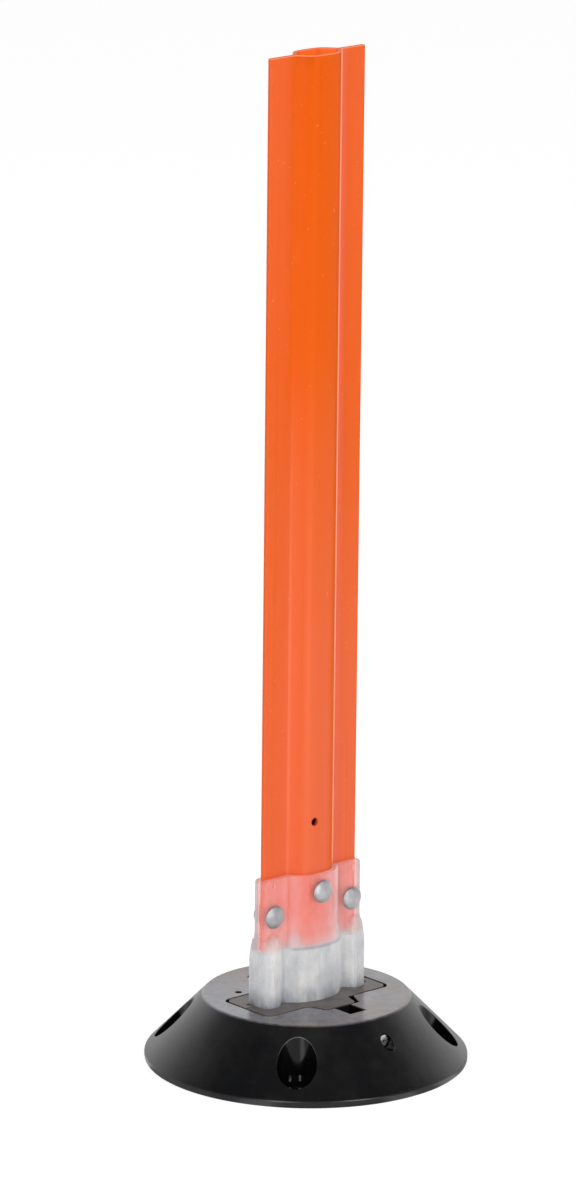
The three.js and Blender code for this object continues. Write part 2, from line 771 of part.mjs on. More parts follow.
const postGroup = new THREE.Group();
postGroup.add(
  makePost(),
  makeSideRivet('rivet_left', LEFT),
  makeSideRivet('rivet_right', RIGHT),
  makeRivetWasher('rivet_washer_left', LEFT),
  makeRivetWasher('rivet_washer_right', RIGHT),
  makeCentreRivet('rivet_centre_front', FRONT),
  makeCentreRivet('rivet_centre_rear', REAR),
);

const group = new THREE.Group();
group.add(baseGroup, makeBoot(), postGroup);

export default group;
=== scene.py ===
# Looks for a flexible delineator post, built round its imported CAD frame.
import math
from functools import reduce

import bmesh
import bpy
from mathutils import Matrix, Vector, noise


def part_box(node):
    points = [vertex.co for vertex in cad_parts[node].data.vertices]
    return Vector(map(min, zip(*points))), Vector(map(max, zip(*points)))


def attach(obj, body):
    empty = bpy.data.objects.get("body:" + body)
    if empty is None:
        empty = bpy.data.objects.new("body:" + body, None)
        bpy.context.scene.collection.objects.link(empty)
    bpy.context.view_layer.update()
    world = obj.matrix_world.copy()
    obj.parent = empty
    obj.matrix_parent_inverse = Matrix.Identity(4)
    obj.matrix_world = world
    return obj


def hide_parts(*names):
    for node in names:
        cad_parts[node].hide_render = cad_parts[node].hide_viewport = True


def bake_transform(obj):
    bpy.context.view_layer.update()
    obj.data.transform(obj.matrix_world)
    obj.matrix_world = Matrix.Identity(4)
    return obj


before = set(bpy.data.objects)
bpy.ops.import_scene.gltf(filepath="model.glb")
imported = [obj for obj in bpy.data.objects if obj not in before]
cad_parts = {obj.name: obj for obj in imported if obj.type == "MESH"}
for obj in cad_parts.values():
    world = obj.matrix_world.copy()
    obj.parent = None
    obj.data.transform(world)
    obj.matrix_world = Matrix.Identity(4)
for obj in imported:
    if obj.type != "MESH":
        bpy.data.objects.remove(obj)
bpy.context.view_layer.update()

MM = 0.001
FRONT, REAR = -1, 1

# ------------------------------------------------------- places from the frame

base_low, base_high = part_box("base_body")
insert_low, insert_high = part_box("insert_front_half")
boot_low, boot_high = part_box("hinge_boot")
post_low, post_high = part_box("post")
pin_low, pin_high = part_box("locking_pin_rear")
side_rivet_low, side_rivet_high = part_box("rivet_right")
centre_rivet_low, centre_rivet_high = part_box("rivet_centre_rear")
washer_low, washer_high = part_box("rivet_washer_right")
screw_low, screw_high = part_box("foot_screw_right")
nut_washer_low, nut_washer_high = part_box("foot_washer_right")

TOP = base_high.z
BASE_RADIUS = base_high.x
POST_FOOT = post_low.z - TOP
BOOT_RIM = boot_high.z - TOP

# ---------------------------------------------------------- sizes, millimetres
# Heights called "up" are above the top of the base. Milk is how much the boot's skin hides, 0 to 1.

BASE_TOP_RADIUS = 65.0
LIP_HEIGHT = 4.0
LIP_ROUND = 1.4
TOP_EDGE_ROUND = 0.9
GLUE_GROOVES = (26.0, 58.0, 66.0)
GLUE_GROOVE = (4.0, 1.5)
ANCHOR_CIRCLE = 83.0
ANCHOR_POCKET = 12.5
ANCHOR_FLOOR = 9.5
ANCHOR_HOLE = 7.0
PIN_BORE = 4.6
PIN_WALL = 3.4
PIN_CHAMFER = 0.5
PIN_SLIT = (5, 25)
WELL_HALF_WIDTH = 6.75
WELL_OUTER = 49.3
WELL_FLOOR = 22.0
VENT = (-32.1, 28.2)
VENT_RADIUS = 2.3
VENT_DEPTH = 12.0
BASE_EDGES = 0.35

INSERT_CORNER = 6.0
INSERT_GAP = 1.5
INSERT_SIDE = 20.8
INSERT_EDGES = 0.25
TAB_ROOT = 15.5
TAB_END = 13.0
TAB_CORNER = 4.0
TAB_FILLET = 4.0
PRY_SLOT = 2.2
SEAM = 0.45
DIMPLE = 1.2
DIMPLE_DEPTH = 3.0
FOOT_CORNER = 4.0
FOOT_TOP_UP = -19.5
SCREW_X = (screw_low.x + screw_high.x) / 2 / MM
SCREW_Z = (screw_low.z + screw_high.z) / 2 / MM
SCREW_HOLE = 2.8
RIVET_HOLE = 2.7
RIVET_HEAD = 7.4
RIVET_SHANK = 2.4
RIVET_TAIL = 3.8
SIDE_RIVET_SEAT = 5.3
CENTRE_RIVET_SEAT = 14.1
WASHER_RADIUS = 7.0
WASHER_ROUND = 0.25
BASE_DIMPLE = (-7.1, 47.1)
INSERT_DIMPLE = (43.7, -5.2)

SHOULDER_UP = 33.6
NECK_UP = 46.6
LOWER_BULGE = (24.0, 15.6)
SLEEVE_BULGE = (21.5, 13.8)
WEB = 5.0
BLOCK = 9.0
BLOCK_INNER = 27.6
LOWER_LENGTH = 41.5
SLEEVE_LENGTH = 40.5
RIB_AT = 34.0
RIB_HALF = 4.3
RIB_TOP_UP = 45.7
RIM_MILK = 0.6
BENT_LIGHT_MILK = 0.68
RIB_MILK = 0.62
HOLLOW_MILK = 0.16
DROP_AT = 32.5
DROP_DOWN = 4.6
DROP_RISE = 0.7

POST_LENGTH = post_high.x / MM
POST_FIN = 1.5
POST_CROWN = 10.8
POST_SHOULDER = (11.2, 9.7)
POST_TUBE_TIP = 19.6
POST_WALL = 2.0
CREASE_AT = 18.6
SHOULDER_LINE_AT = 10.5
SHINE_FADES = (270, 450)
PALER_TOWARDS = (400, 600)
SIGHT_HOLE_X = -4.0
SIGHT_HOLE_UP = 115.3
SIGHT_HOLE = 2.6
FIT = 0.3
SLIVER = 0.12


# ---------------------------------------------------------------- mesh helpers

def ease(low, high, value):
    """0 below low, 1 above high, and smooth between."""
    t = min(1.0, max(0.0, (value - low) / (high - low)))
    return t * t * (3 - 2 * t)


def blend_values(a, b, t):
    return a + (b - a) * t


def soft_max(a, b, reach):
    """The larger of two values, with a fillet where they are within reach of each other."""
    h = max(reach - abs(a - b), 0.0) / reach
    return max(a, b) + h * h * reach * 0.25


def oval(u, half_length, half_width):
    return half_width * math.sqrt(max(0.0, 1 - (u / half_length) ** 2))


def new_object(name, data):
    obj = bpy.data.objects.new(name, data)
    bpy.context.scene.collection.objects.link(obj)
    return obj


def mesh_from(name, vertices, faces):
    """An object from points in millimetres."""
    mesh = bpy.data.meshes.new(name)
    mesh.from_pydata([Vector(v) * MM for v in vertices], [], faces)
    mesh.validate()
    return new_object(name, mesh)


def smooth(obj, degrees):
    """Smooth shading that keeps edges sharper than an angle."""
    for polygon in obj.data.polygons:
        polygon.use_smooth = True
    obj.data.set_sharp_from_angle(angle=math.radians(degrees))
    return obj


def outward(obj):
    """Faces turned to point out of a closed body."""
    work = bmesh.new()
    work.from_mesh(obj.data)
    bmesh.ops.recalc_face_normals(work, faces=work.faces)
    work.to_mesh(obj.data)
    work.free()
    return obj


def bake_modifiers(obj):
    """Turns an object's modifiers into its mesh."""
    graph = bpy.context.evaluated_depsgraph_get()
    mesh = bpy.data.meshes.new_from_object(obj.evaluated_get(graph), depsgraph=graph)
    obj.modifiers.clear()
    obj.data = mesh
    return obj


def cut(obj, tools):
    """Cuts closed tools out of an object and removes them."""
    for tool in tools:
        modifier = obj.modifiers.new("cut", "BOOLEAN")
        modifier.operation = "DIFFERENCE"
        modifier.solver = "EXACT"
        modifier.object = tool
    bake_modifiers(obj)
    for tool in tools:
        bpy.data.objects.remove(tool)
    return obj


def weld(obj, distance):
    """Joins points closer than a distance in millimetres, so that a cut leaves no slivers."""
    work = bmesh.new()
    work.from_mesh(obj.data)
    bmesh.ops.remove_doubles(work, verts=work.verts, dist=distance * MM)
    bmesh.ops.dissolve_degenerate(work, edges=work.edges, dist=distance * MM)
    work.to_mesh(obj.data)
    work.free()


def soften_edges(obj, width):
    """Rounds every sharp edge by up to a width in millimetres, and keeps flat faces shaded flat."""
    weld(obj, SLIVER)
    modifier = obj.modifiers.new("round", "BEVEL")
    modifier.width = width * MM
    modifier.segments = 2
    modifier.limit_method = "ANGLE"
    modifier.angle_limit = math.radians(32)
    modifier.use_clamp_overlap = True
    smooth(bake_modifiers(obj), 50)
    modifier = obj.modifiers.new("flats", "WEIGHTED_NORMAL")
    modifier.keep_sharp = True
    return bake_modifiers(obj)


def skin(rings):
    """The points and faces between closed loops with equal numbers of points, in order."""
    count = len(rings[0])
    points = [point for ring in rings for point in ring]
    faces = []
    for level in range(len(rings) - 1):
        for i in range(count):
            j = (i + 1) % count
            low = level * count
            high = low + count
            faces.append((low + i, low + j, high + j, high + i))
    return points, faces


def rings_to_mesh(name, rings):
    """A closed body over closed loops, with a flat face at each end."""
    points, faces = skin(rings)
    count = len(rings[0])
    faces.append(tuple(range(count - 1, -1, -1)))
    faces.append(tuple(range(len(points) - count, len(points))))
    return outward(mesh_from(name, points, faces))


def turned(name, profile, segments, axis="Z", centre=(0, 0, 0), flip=False):
    """A body of revolution from (radius, height) points in millimetres, first and last on the axis."""
    rings = []
    for radius, height in profile[1:-1]:
        ring = []
        for i in range(segments):
            angle = 2 * math.pi * i / segments
            ring.append((radius * math.cos(angle), radius * math.sin(angle), height))
        rings.append(ring)
    vertices, faces = skin(rings)
    first = len(vertices)
    vertices.append((0, 0, profile[0][1]))
    last = len(vertices)
    vertices.append((0, 0, profile[-1][1]))
    top = first - segments
    for i in range(segments):
        j = (i + 1) % segments
        faces.append((first, j, i))
        faces.append((last, top + i, top + j))
    if axis == "Y":
        sign = -1 if flip else 1
        vertices = [(x, sign * z, sign * -y) for x, y, z in vertices]
    vertices = [tuple(Vector(v) + Vector(centre)) for v in vertices]
    return outward(mesh_from(name, vertices, faces))


def arc(cx, cy, rx, ry, start, end, steps):
    """Points of an elliptical arc, angles in degrees."""
    points = []
    for i in range(steps + 1):
        angle = math.radians(blend_values(start, end, i / steps))
        points.append((cx + rx * math.cos(angle), cy + ry * math.sin(angle)))
    return points


def rod(name, radius, start, end, segments=48):
    """A plain round tool between two points, in millimetres."""
    a, b = Vector(start), Vector(end)
    length = (b - a).length
    profile = [(0, 0), (radius, 0), (radius, length), (0, length)]
    obj = turned(name, profile, segments)
    turn = (b - a).to_track_quat("Z", "Y").to_matrix().to_4x4()
    obj.data.transform(Matrix.Translation(a * MM) @ turn)
    return obj


def along_y(radius, x, z, start, end, segments=40):
    """A cutting tool along Y, between two places in either order."""
    near, far = sorted((start, end))
    return rod("tool", radius, (x, near, z), (x, far, z), segments)


def prism(name, outline, low, high):
    """An upright body with a flat outline, in millimetres."""
    rings = [[(x, y, z) for x, y in outline] for z in (low, high)]
    return rings_to_mesh(name, rings)


# ------------------------------------------------------------ outlines in plan

def long_section(length, end_round, width_at, side_steps, end_steps):
    """A closed loop round a section that is long in x and the same on both sides.

    width_at(u) gives half its width in y. The ends are flat with rounded corners.
    """
    reach = length - end_round
    us = [blend_values(-reach, reach, i / side_steps) for i in range(side_steps + 1)]
    end_width = width_at(reach)
    corner = min(end_round, end_width * 0.98)
    flat = end_width - corner
    points = [(u, -width_at(u)) for u in us]
    end = []
    for i in range(1, end_steps):
        angle = math.pi * i / end_steps - math.pi / 2
        side = flat * max(-1.0, min(1.0, math.sin(angle) * 3))
        end.append((reach + end_round * math.cos(angle), corner * math.sin(angle) + side))
    points += end
    points += [(u, width_at(u)) for u in reversed(us)]
    points += [(-x, -y) for x, y in end]
    return points


def rib(u, up):
    """The round-topped rib under each side rivet, from 0 beside it to 1 along its middle."""
    across = (abs(u) - RIB_AT) / RIB_HALF
    above = max(0.0, up - (RIB_TOP_UP - RIB_HALF)) / RIB_HALF
    return math.sqrt(max(0.0, 1 - across * across - above * above))


def boot_width(u, up):
    """Half the boot's width at a place along it and a height above the base."""
    lower = 1 - ease(SHOULDER_UP, NECK_UP, up)
    flare = 1 - ease(SHOULDER_UP - 6, NECK_UP + 2, up)
    along = abs(u)
    bulge_length = blend_values(SLEEVE_BULGE[0], LOWER_BULGE[0], lower)
    bulge_width = blend_values(SLEEVE_BULGE[1], LOWER_BULGE[1], lower)
    block = ease(BLOCK_INNER - 2.4, BLOCK_INNER + 2.6, along)
    flute = 0.12 * math.cos(2 * math.pi * along / 2.15) * block * lower
    flute *= ease(0, 4, LOWER_LENGTH - along)
    web = blend_values(WEB, WEB + 1.0, lower * ease(2, 16, up))
    fin = web + (BLOCK - web) * block * flare + flute
    width = soft_max(fin, oval(u, bulge_length, bulge_width), blend_values(2.0, 4.5, lower))
    return width + rib(u, up) * blend_values(3.0, 1.7, lower)


def boot_length(up):
    lower = 1 - ease(SHOULDER_UP - 2, NECK_UP - 2, up)
    length = blend_values(SLEEVE_LENGTH, LOWER_LENGTH, lower)
    round_top = 2.4
    over = max(0.0, up - (BOOT_RIM / MM - round_top))
    return length - (round_top - math.sqrt(max(0.0, round_top**2 - over**2)))


def boot_loop(up, shrink=0.0):
    lower = 1 - ease(SHOULDER_UP, NECK_UP, up)
    end_round = blend_values(2.2, 4.0, lower)
    length = boot_length(up) - shrink
    return long_section(length, end_round, lambda u: boot_width(u, up) - shrink, 216, 14)


def tube_width(u, wall=0.0):
    """Half the width of the post's tube: a crowned face between two slanting sides."""
    at, height = POST_SHOULDER
    crown = POST_CROWN - (POST_CROWN - height) * (u / at) ** 2 - wall
    slope = height / (POST_TUBE_TIP - at)
    tip = POST_TUBE_TIP - wall * math.hypot(1, 1 / slope)
    slant = (tip - abs(u)) * slope
    return max(0.0, -soft_max(-crown, -slant, 3.2))


def post_width(u):
    return soft_max(POST_FIN, tube_width(u), 1.4)


def tube_loop(wall):
    """The closed outline of the hollow inside the post's tube."""
    at, height = POST_SHOULDER
    tip = POST_TUBE_TIP - wall * math.hypot(1, (POST_TUBE_TIP - at) / height)
    steps = 64
    us = [-tip * math.cos(math.pi * i / steps) for i in range(steps + 1)]
    near = [(u, -tube_width(u, wall)) for u in us]
    return near + [(-x, -y) for x, y in near[1:-1]]


def bend(start, corner, end, steps=5):
    """Points of a quadratic curve."""
    points = []
    for i in range(steps + 1):
        t = i / steps
        a = Vector(start).lerp(Vector(corner), t)
        b = Vector(corner).lerp(Vector(end), t)
        points.append(tuple(a.lerp(b, t)))
    return points


def insert_outline(grow, pry):
    """The front half of the insert's plan, from its left end to its right end."""
    end = insert_high.x / MM + grow
    side = INSERT_SIDE + grow
    tip = -insert_low.y / MM + grow
    root = TAB_ROOT + grow
    tab = TAB_END + grow
    r = INSERT_CORNER
    fillet = TAB_FILLET
    taper = (root - tab) / (tip - side)
    points = arc(-end + r, -side + r, r, r, 180, 270, 8)
    points += bend((-root - fillet, -side), (-root, -side), (-root + taper * fillet, -side - fillet))
    r = TAB_CORNER
    points += bend((-tab, -tip + r), (-tab, -tip), (-tab + r, -tip))
    points += bend((tab - r, -tip), (tab + pry / 2, -tip), (tab + pry / 2, -tip + r))
    points += bend((root + pry - 0.3, -side - 1.5), (root + pry, -side), (root + pry + 1.5, -side))
    r = INSERT_CORNER
    points += arc(end - r, -side + r, r, r, 270, 360, 8)
    return points


# ------------------------------------------------------------------ the pieces

def make_base():
    """The moulded cone, with its pockets, bores, wells and the hole for the insert."""
    height = TOP / MM
    radius = BASE_RADIUS / MM
    slope = math.degrees(math.atan2(height - LIP_HEIGHT, radius - BASE_TOP_RADIUS))
    profile = [(0, 0)]
    groove_width, groove_depth = GLUE_GROOVE
    for at in GLUE_GROOVES:
        profile += [(at, 0), (at, groove_depth)]
        profile += [(at + groove_width, groove_depth), (at + groove_width, 0)]
    profile += arc(radius - LIP_ROUND, LIP_ROUND, LIP_ROUND, LIP_ROUND, -90, 0, 5)
    profile += arc(radius - 2.0, LIP_HEIGHT - 0.4, 2.0, 2.0, 0, 90 - slope, 4)
    edge = BASE_TOP_RADIUS - TOP_EDGE_ROUND * math.tan(math.radians(slope / 2))
    lift = height - TOP_EDGE_ROUND
    profile += arc(edge, lift, TOP_EDGE_ROUND, TOP_EDGE_ROUND, 90 - slope, 90, 5)
    profile += [(0, height)]
    base = turned("base_moulding", profile, 256)

    above = height + 5
    front = insert_outline(INSERT_GAP, PRY_SLOT)
    plan = front + [(-x, -y) for x, y in front]
    tools = [prism("tool", plan, insert_low.z / MM - FIT, above)]
    for quarter in range(4):
        angle = math.radians(45 + 90 * quarter)
        x, y = ANCHOR_CIRCLE * math.cos(angle), ANCHOR_CIRCLE * math.sin(angle)
        tools.append(rod("tool", ANCHOR_POCKET, (x, y, ANCHOR_FLOOR), (x, y, above), 96))
        tools.append(rod("tool", ANCHOR_HOLE, (x, y, -5), (x, y, above), 64))
    pin_z = (pin_low.z + pin_high.z) / 2 / MM
    inner = insert_high.y / MM
    tip = -insert_low.y / MM
    for side in (FRONT, REAR):
        a, b = sorted((side * (tip - 1), side * (radius + 5)))
        tools.append(rod("tool", PIN_BORE, (0, a, pin_z), (0, b, pin_z), 64))
        a, b = sorted((side * (tip - 0.2), side * WELL_OUTER))
        w = WELL_HALF_WIDTH
        tools.append(prism("tool", [(-w, a), (w, a), (w, b), (-w, b)], WELL_FLOOR, above))
    tools.append(rod("tool", VENT_RADIUS, (*VENT, height - VENT_DEPTH), (*VENT, above), 32))
    tools.append(rod("tool", DIMPLE, (*BASE_DIMPLE, height - DIMPLE_DEPTH), (*BASE_DIMPLE, above), 20))
    cut(base, tools)
    return soften_edges(base, BASE_EDGES)


def make_insert_half(name, side):
    """One half of the insert, with the boot's own outline cut out of its inner edge."""
    outer = insert_outline(0, 0)
    left = (outer[0][0], -SEAM)
    right = (outer[-1][0], -SEAM)
    loop = boot_loop(0, -0.22)
    inner = [(x, y) for x, y in loop if y <= -SEAM]
    start = min(range(len(inner)), key=lambda i: inner[i][0])
    inner = inner[start:] + inner[:start]
    outline = [left] + outer + [right]
    outline += [(inner[-1][0], -SEAM)] + inner[::-1] + [(inner[0][0], -SEAM)]
    if side == REAR:
        outline = [(-x, -y) for x, y in outline]
    half = prism(name, outline, insert_low.z / MM, TOP / MM)
    x, y = INSERT_DIMPLE
    place = (side * -x, side * -y)
    tools = [rod("tool", DIMPLE, (*place, TOP / MM - DIMPLE_DEPTH), (*place, TOP / MM + 2), 20)]
    room = FIT + 0.1
    foot_x, foot_y = boot_high.x / MM, boot_high.y / MM
    chamber = long_section(foot_x + room, FOOT_CORNER, lambda u: foot_y + room, 2, 10)
    tools.append(prism("tool", chamber, boot_low.z / MM - room, TOP / MM + FOOT_TOP_UP + room))
    outside = side * 60
    seat = side * (nut_washer_low.y / MM - FIT)
    bearing = screw_high if side == FRONT else nut_washer_high
    radius = bearing.z / MM - SCREW_Z + FIT
    for x in (-SCREW_X, SCREW_X):
        tools.append(along_y(SCREW_HOLE, x, SCREW_Z, 0, outside))
        tools.append(along_y(radius, x, SCREW_Z, seat, outside))
    pin_z = (pin_low.z + pin_high.z) / 2 / MM
    tools.append(along_y(PIN_BORE, 0, pin_z, side * (pin_low.y / MM - FIT), outside, 64))
    cut(half, tools)
    return soften_edges(half, INSERT_EDGES)


def boot_levels():
    """Heights above the base at which the boot's skin is shaped, closest where it changes most."""
    levels = [-19.4 + 3.2 * i for i in range(6)]
    levels += [float(i) for i in range(0, 30, 2)]
    up = 30.0
    while up < 50:
        levels.append(up)
        up += 0.65
    while up < BOOT_RIM / MM - 10:
        levels.append(up)
        up += 1.7
    while up < BOOT_RIM / MM - 3:
        levels.append(up)
        up += 0.5
    rim = BOOT_RIM / MM
    levels += [rim - d for d in (2.6, 2.2, 1.8, 1.4, 1.0, 0.6)]
    return levels


def wall_milk(thickness):
    """How much one face of a wall hides, seen head on, for a wall this thick in millimetres."""
    return 1 - math.exp(-thickness * 0.074)


def rivet_places():
    """Where the rivets cross the post, as x and z."""
    side_x = (side_rivet_low.x + side_rivet_high.x) / 2 / MM
    side_z = (side_rivet_low.z + side_rivet_high.z) / 2 / MM
    centre_z = (centre_rivet_low.z + centre_rivet_high.z) / 2 / MM
    return [(-side_x, side_z), (side_x, side_z), (0, centre_z)]


def boot_milk(x, y, up):
    """How much the boot's skin hides at a point: everything below the post, and less in a thin wall."""
    post_foot = POST_FOOT / MM
    if up < post_foot - 3:
        return 1.0
    bare = post_width(min(abs(x), POST_LENGTH - 0.1))
    wall = max(0.6, abs(y) - bare - FIT)
    ragged = noise.noise(Vector((x * 0.35, math.copysign(3.0, y), up * 0.12)))
    at_fins = ease(19, 27, abs(x))
    start = post_foot - 1.0 + at_fins * (ragged * 1.2 - 1.0)
    reach = blend_values(1.4, 5.0, at_fins)
    near_foot = 1 - ease(start, start + reach, up)
    haze = wall_milk(wall) * (2 - ease(post_foot, post_foot + 26, up))
    return max(haze, near_foot, RIB_MILK * rib(x, up))


def teardrop(x, y, up):
    """The rise of the two small moulded drops under the sleeve's rim."""
    if abs(y) < 2:
        return 0.0
    above = up - (BOOT_RIM / MM - DROP_DOWN)
    across = (abs(x) - DROP_AT) / (1.15 if above < 0 else 0.75)
    along = above / (1.3 if above < 0 else 2.6)
    return math.copysign(DROP_RISE * math.exp(-across**2 - along**2), y)


def make_boot():
    """The flexible moulding: foot, thick lower body, shoulder and thin sleeve."""
    rim = BOOT_RIM / MM
    foot = (boot_high.x / MM, boot_high.y / MM)
    foot_top = FOOT_TOP_UP
    foot_bottom = (boot_low.z - TOP) / MM
    rings = []

    def add(loop, up):
        rings.append([(x, y, up + TOP / MM) for x, y in loop])

    foot_loop = long_section(foot[0], FOOT_CORNER, lambda u: foot[1], 216, 14)
    small_foot = long_section(foot[0] - 0.6, FOOT_CORNER, lambda u: foot[1] - 0.6, 216, 14)
    add(small_foot, foot_bottom)
    add(foot_loop, foot_bottom + 0.6)
    add(foot_loop, foot_top - 0.6)
    add(small_foot, foot_top)
    for up in boot_levels():
        add([(x, y + teardrop(x, y, up)) for x, y in boot_loop(up)], up)
    add(boot_loop(rim - 0.25, 0.12), rim - 0.25)
    add(boot_loop(rim - 0.25, 0.45), rim)
    post_foot = POST_FOOT / MM
    inside = long_section(POST_LENGTH + FIT, 1.2, lambda u: post_width(u) + FIT, 216, 14)
    down_the_hollow = [rim, rim - 4] + [rim - 4 - 6.5 * i for i in range(1, 6)]
    for up in down_the_hollow + [post_foot + 2, post_foot - FIT]:
        add(inside, up)
    boot = rings_to_mesh("hinge_boot_moulding", rings)
    reach = boot_high.y / MM + 1
    tools = [along_y(RIVET_HOLE, x, z, -reach, reach) for x, z in rivet_places()]
    tools += [along_y(SCREW_HOLE, x, SCREW_Z, -reach, reach) for x in (-SCREW_X, SCREW_X)]
    cut(boot, tools)
    weld(boot, 0.08)
    milk = []
    for vertex in boot.data.vertices:
        x, y, z = vertex.co / MM
        up = z - TOP / MM
        in_hollow = up > post_foot - FIT - 0.05 and abs(x) < POST_LENGTH + FIT + 0.05
        if in_hollow and abs(y) < post_width(x) + FIT + 0.05:
            milk.append(HOLLOW_MILK)
        else:
            milk.append(boot_milk(x, y, up))
    values = boot.data.attributes.new("milk", "FLOAT", "POINT")
    values.data.foreach_set("value", milk)
    place = boot.data.attributes.new("rest_place", "FLOAT_VECTOR", "POINT")
    flat = [c for v in boot.data.vertices for c in v.co]
    place.data.foreach_set("vector", flat)
    return smooth(boot, 50)


def make_post():
    """The extruded post: a crowned tube with slanting sides between two flat fins, open at both ends."""
    low, high = post_low.z / MM, post_high.z / MM
    edge = 0.35
    between = [low + (high - low) * i / 60 for i in range(1, 60)]
    heights = [low, low + edge] + between + [high - edge, high]
    outer_rings, inner_rings = [], []
    for z in heights:
        shrink = edge * 0.8 if z in (low, high) else 0.0
        outline = long_section(POST_LENGTH - shrink, 1.2, lambda u: post_width(u) - shrink, 160, 10)
        outer_rings.append([(x, y, z) for x, y in outline])
        inner_rings.append([(x, y, z) for x, y in tube_loop(POST_WALL - shrink)])
    work = bmesh.new()

    def sheet(rings):
        loops = [[work.verts.new(Vector(p) * MM) for p in ring] for ring in rings]
        for a, b in zip(loops, loops[1:]):
            for i in range(len(a)):
                j = (i + 1) % len(a)
                work.faces.new((a[i], a[j], b[j], b[i]))
        return loops

    outer, inner = sheet(outer_rings), sheet(inner_rings)
    for end in (0, -1):
        edges = []
        for loop in (outer[end], inner[end]):
            for i in range(len(loop)):
                edges.append(work.edges.get((loop[i], loop[(i + 1) % len(loop)])))
        bmesh.ops.triangle_fill(work, use_beauty=True, use_dissolve=False, edges=edges)
    bmesh.ops.recalc_face_normals(work, faces=work.faces)
    mesh = bpy.data.meshes.new("post_extrusion")
    work.to_mesh(mesh)
    work.free()
    post = new_object("post_extrusion", mesh)
    z = TOP / MM + SIGHT_HOLE_UP
    x = SIGHT_HOLE_X
    tools = [along_y(SIGHT_HOLE, x, z, -POST_CROWN - 3, 0)]
    tools += [along_y(RIVET_HOLE, x, z, -POST_CROWN - 3, POST_CROWN + 3) for x, z in rivet_places()]
    cut(post, tools)
    return smooth(post, 35)


def rivet_profile(tail, head_at, head_height):
    """A domed rivet's half section, with its head at the top."""
    dome = arc(0, head_at + 0.7, RIVET_HEAD, head_height - 0.7, 0, 88, 12)
    rim = arc(RIVET_HEAD - 0.5, head_at + 0.5, 0.5, 0.5, -90, 0, 3)
    swell = arc(0, tail + 0.9, RIVET_TAIL, 0.9, -88, 80, 6)
    shank = [(RIVET_SHANK, tail + 1.9), (RIVET_SHANK, head_at)]
    return [(0, tail)] + swell + shank + rim + dome + [(0, head_at + head_height)]


def make_rivet(name, centre, head_at, head_top, tail, side, seed):
    """A rivet along Y, with the light dents of a formed head."""
    profile = rivet_profile(tail, head_at, head_top - head_at)
    rivet = turned(name, profile, 64, "Y", centre, flip=(side == FRONT))
    for vertex in rivet.data.vertices:
        offset = vertex.co / MM - Vector(centre)
        if abs(offset.y) > head_at + 0.6:
            dent = noise.noise(offset * 0.32 + Vector((seed, 0, 0))) * 0.22
            dent += noise.noise(offset * 0.9 + Vector((0, seed, 0))) * 0.06
            vertex.co.y += side * (dent - 0.18) * MM
    return smooth(rivet, 40)


def make_washer(name, centre, low, high):
    """A flat washer along Y, behind the tail of a side rivet."""
    outer, r = WASHER_RADIUS, WASHER_ROUND
    profile = arc(outer - r, low + r, r, r, -90, 0, 3) + arc(outer - r, high - r, r, r, 0, 90, 3)
    profile += [(RIVET_HOLE, high), (RIVET_HOLE, low)]
    segments = 64
    rings = []
    for i in range(segments):
        angle = 2 * math.pi * i / segments
        ring = []
        for radius, y in profile:
            x, z = radius * math.cos(angle), radius * math.sin(angle)
            ring.append((x + centre[0], y + centre[1], z + centre[2]))
        rings.append(ring)
    rings.append(rings[0])
    washer = mesh_from(name, *skin(rings))
    weld(washer, 0.001)
    return smooth(outward(washer), 40)


def make_locking_pin(name, side):
    """A rolled spring pin with chamfered ends and a slit along it."""
    radius = (pin_high.z - pin_low.z) / 2 / MM
    inner_y, outer_y = pin_low.y / MM, pin_high.y / MM
    z0 = (pin_low.z + pin_high.z) / 2 / MM
    core = radius - PIN_WALL
    outside_slit, inside_slit = PIN_SLIT
    inside = arc(0, 0, core, core, 360 - inside_slit, inside_slit, 48)
    rings = []
    for y, inset in ((inner_y, PIN_CHAMFER), (inner_y + 1, 0), (outer_y - 1, 0), (outer_y, PIN_CHAMFER)):
        outside = arc(0, 0, radius - inset, radius - inset, outside_slit, 360 - outside_slit, 48)
        rings.append([(x, side * y, z + z0) for x, z in outside + inside])
    return smooth(rings_to_mesh(name, rings), 35)


# ------------------------------------------------------------------- materials

